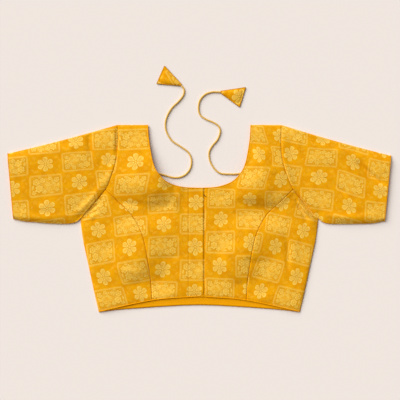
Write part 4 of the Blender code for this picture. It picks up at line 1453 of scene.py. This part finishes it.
def hook():
    """The end of the top hook, showing in the opening, and the tacks that hold it."""
    height = float(front_top(*map(np.array, HOOK_PLACE)))
    line = smooth_line([(x, y, height + rise) for x, y, rise in HOOK], 8)
    finished(tube("top_hook", line, HOOK_RADIUS, METAL, sides=10), "lining")
    stitch_row("hook_tacks", on_top(np.array(HOOK_TACKS)), length=3.4, gap=1.3, radius=0.32)


# ================================================== stage


def camera_and_light():
    """A camera straight above, a low soft sun and a dim warm sky."""
    scene = bpy.context.scene
    scene.view_settings.view_transform = "Standard"
    lens = bpy.data.cameras.new("camera")
    lens.sensor_width = SENSOR
    lens.lens = SENSOR * CAMERA_HEIGHT / VIEW_WIDTH
    lens.clip_end = 20
    camera = placed_object("camera", lens)
    camera.location = (CAMERA_MIDDLE[0] * MM, CAMERA_MIDDLE[1] * MM, CAMERA_HEIGHT * MM)
    scene.camera = camera

    light = bpy.data.lights.new("sun", "SUN")
    light.energy = SUN_STRENGTH
    light.angle = SUN_SOFTNESS
    sun = placed_object("sun", light)
    sun.rotation_euler = Vector(SUN_TRAVEL).to_track_quat("-Z", "Y").to_euler()

    world = bpy.data.worlds.new("sky")
    world.use_nodes = True
    background = world.node_tree.nodes["Background"]
    wire([background.inputs[name] for name in ("Color", "Strength")], SKY, SKY_STRENGTH)
    scene.world = world


def floor():
    bpy.ops.mesh.primitive_plane_add(size=FLOOR_SIZE)
    plane = bpy.context.object
    plane.name = "floor"
    plane.location.z = FLOOR_Z
    material, _ = new_material("floor", Roughness=0.9, Base_Color=FLOOR, Specular_IOR_Level=0.1)
    plane.data.materials.append(material)


# ================================================== putting it together

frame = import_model()

BROCADE = brocade_material()
PLAIN_CLOTH = plain_material("plain_cloth", PLAIN, GROUND_DEEP, 0.45)
SEWING_THREAD = plain_material("sewing_thread", THREAD, OUTLINE, 0.3)
WHIPPING = plain_material("whipping_thread", BROWN_THREAD, OUTLINE, 0.3)
CORD = cord_material()
METAL = metal_material()

camera_and_light()
floor()

for name, route in TIE_ROUTES.items():
    cord_piece, cord_line = tie(name, route)
    hanger, whipping = pendant(name, route, PENDANTS[name])
    finished(cord_piece, "cord", f"tie_{name}")
    finished(hanger, "brocade", f"pendant_{name}")
    finished(whipping, "lining")
    [v * MM for v in cord_line[0]]
    float(lengths(cord_line)[-1]) * MM

cloth = {**front_panels(), **plackets(), "back": back_panel(), "back_hem_lining": hem_lining()}
cuffs = {}
for name, sizes in SLEEVES.items():
    cloth[f"sleeve_{name}"], cuffs[name] = sleeve(name, **sizes)
trim = pipings()
for name, sizes in SLEEVES.items():
    trim[f"cuff_piping_{name}"] = cuff_piping(name, cuffs[name], **sizes)

for name, piece in cloth.items():
    apply_modifiers(piece)
    settle(piece, SHELL if name.startswith("front") else 0.0)
    finished(piece, "lining" if name == "back_hem_lining" else "brocade", name)
for name, piece in trim.items():
    finished(piece, "lining", name)
stitching()
hook()
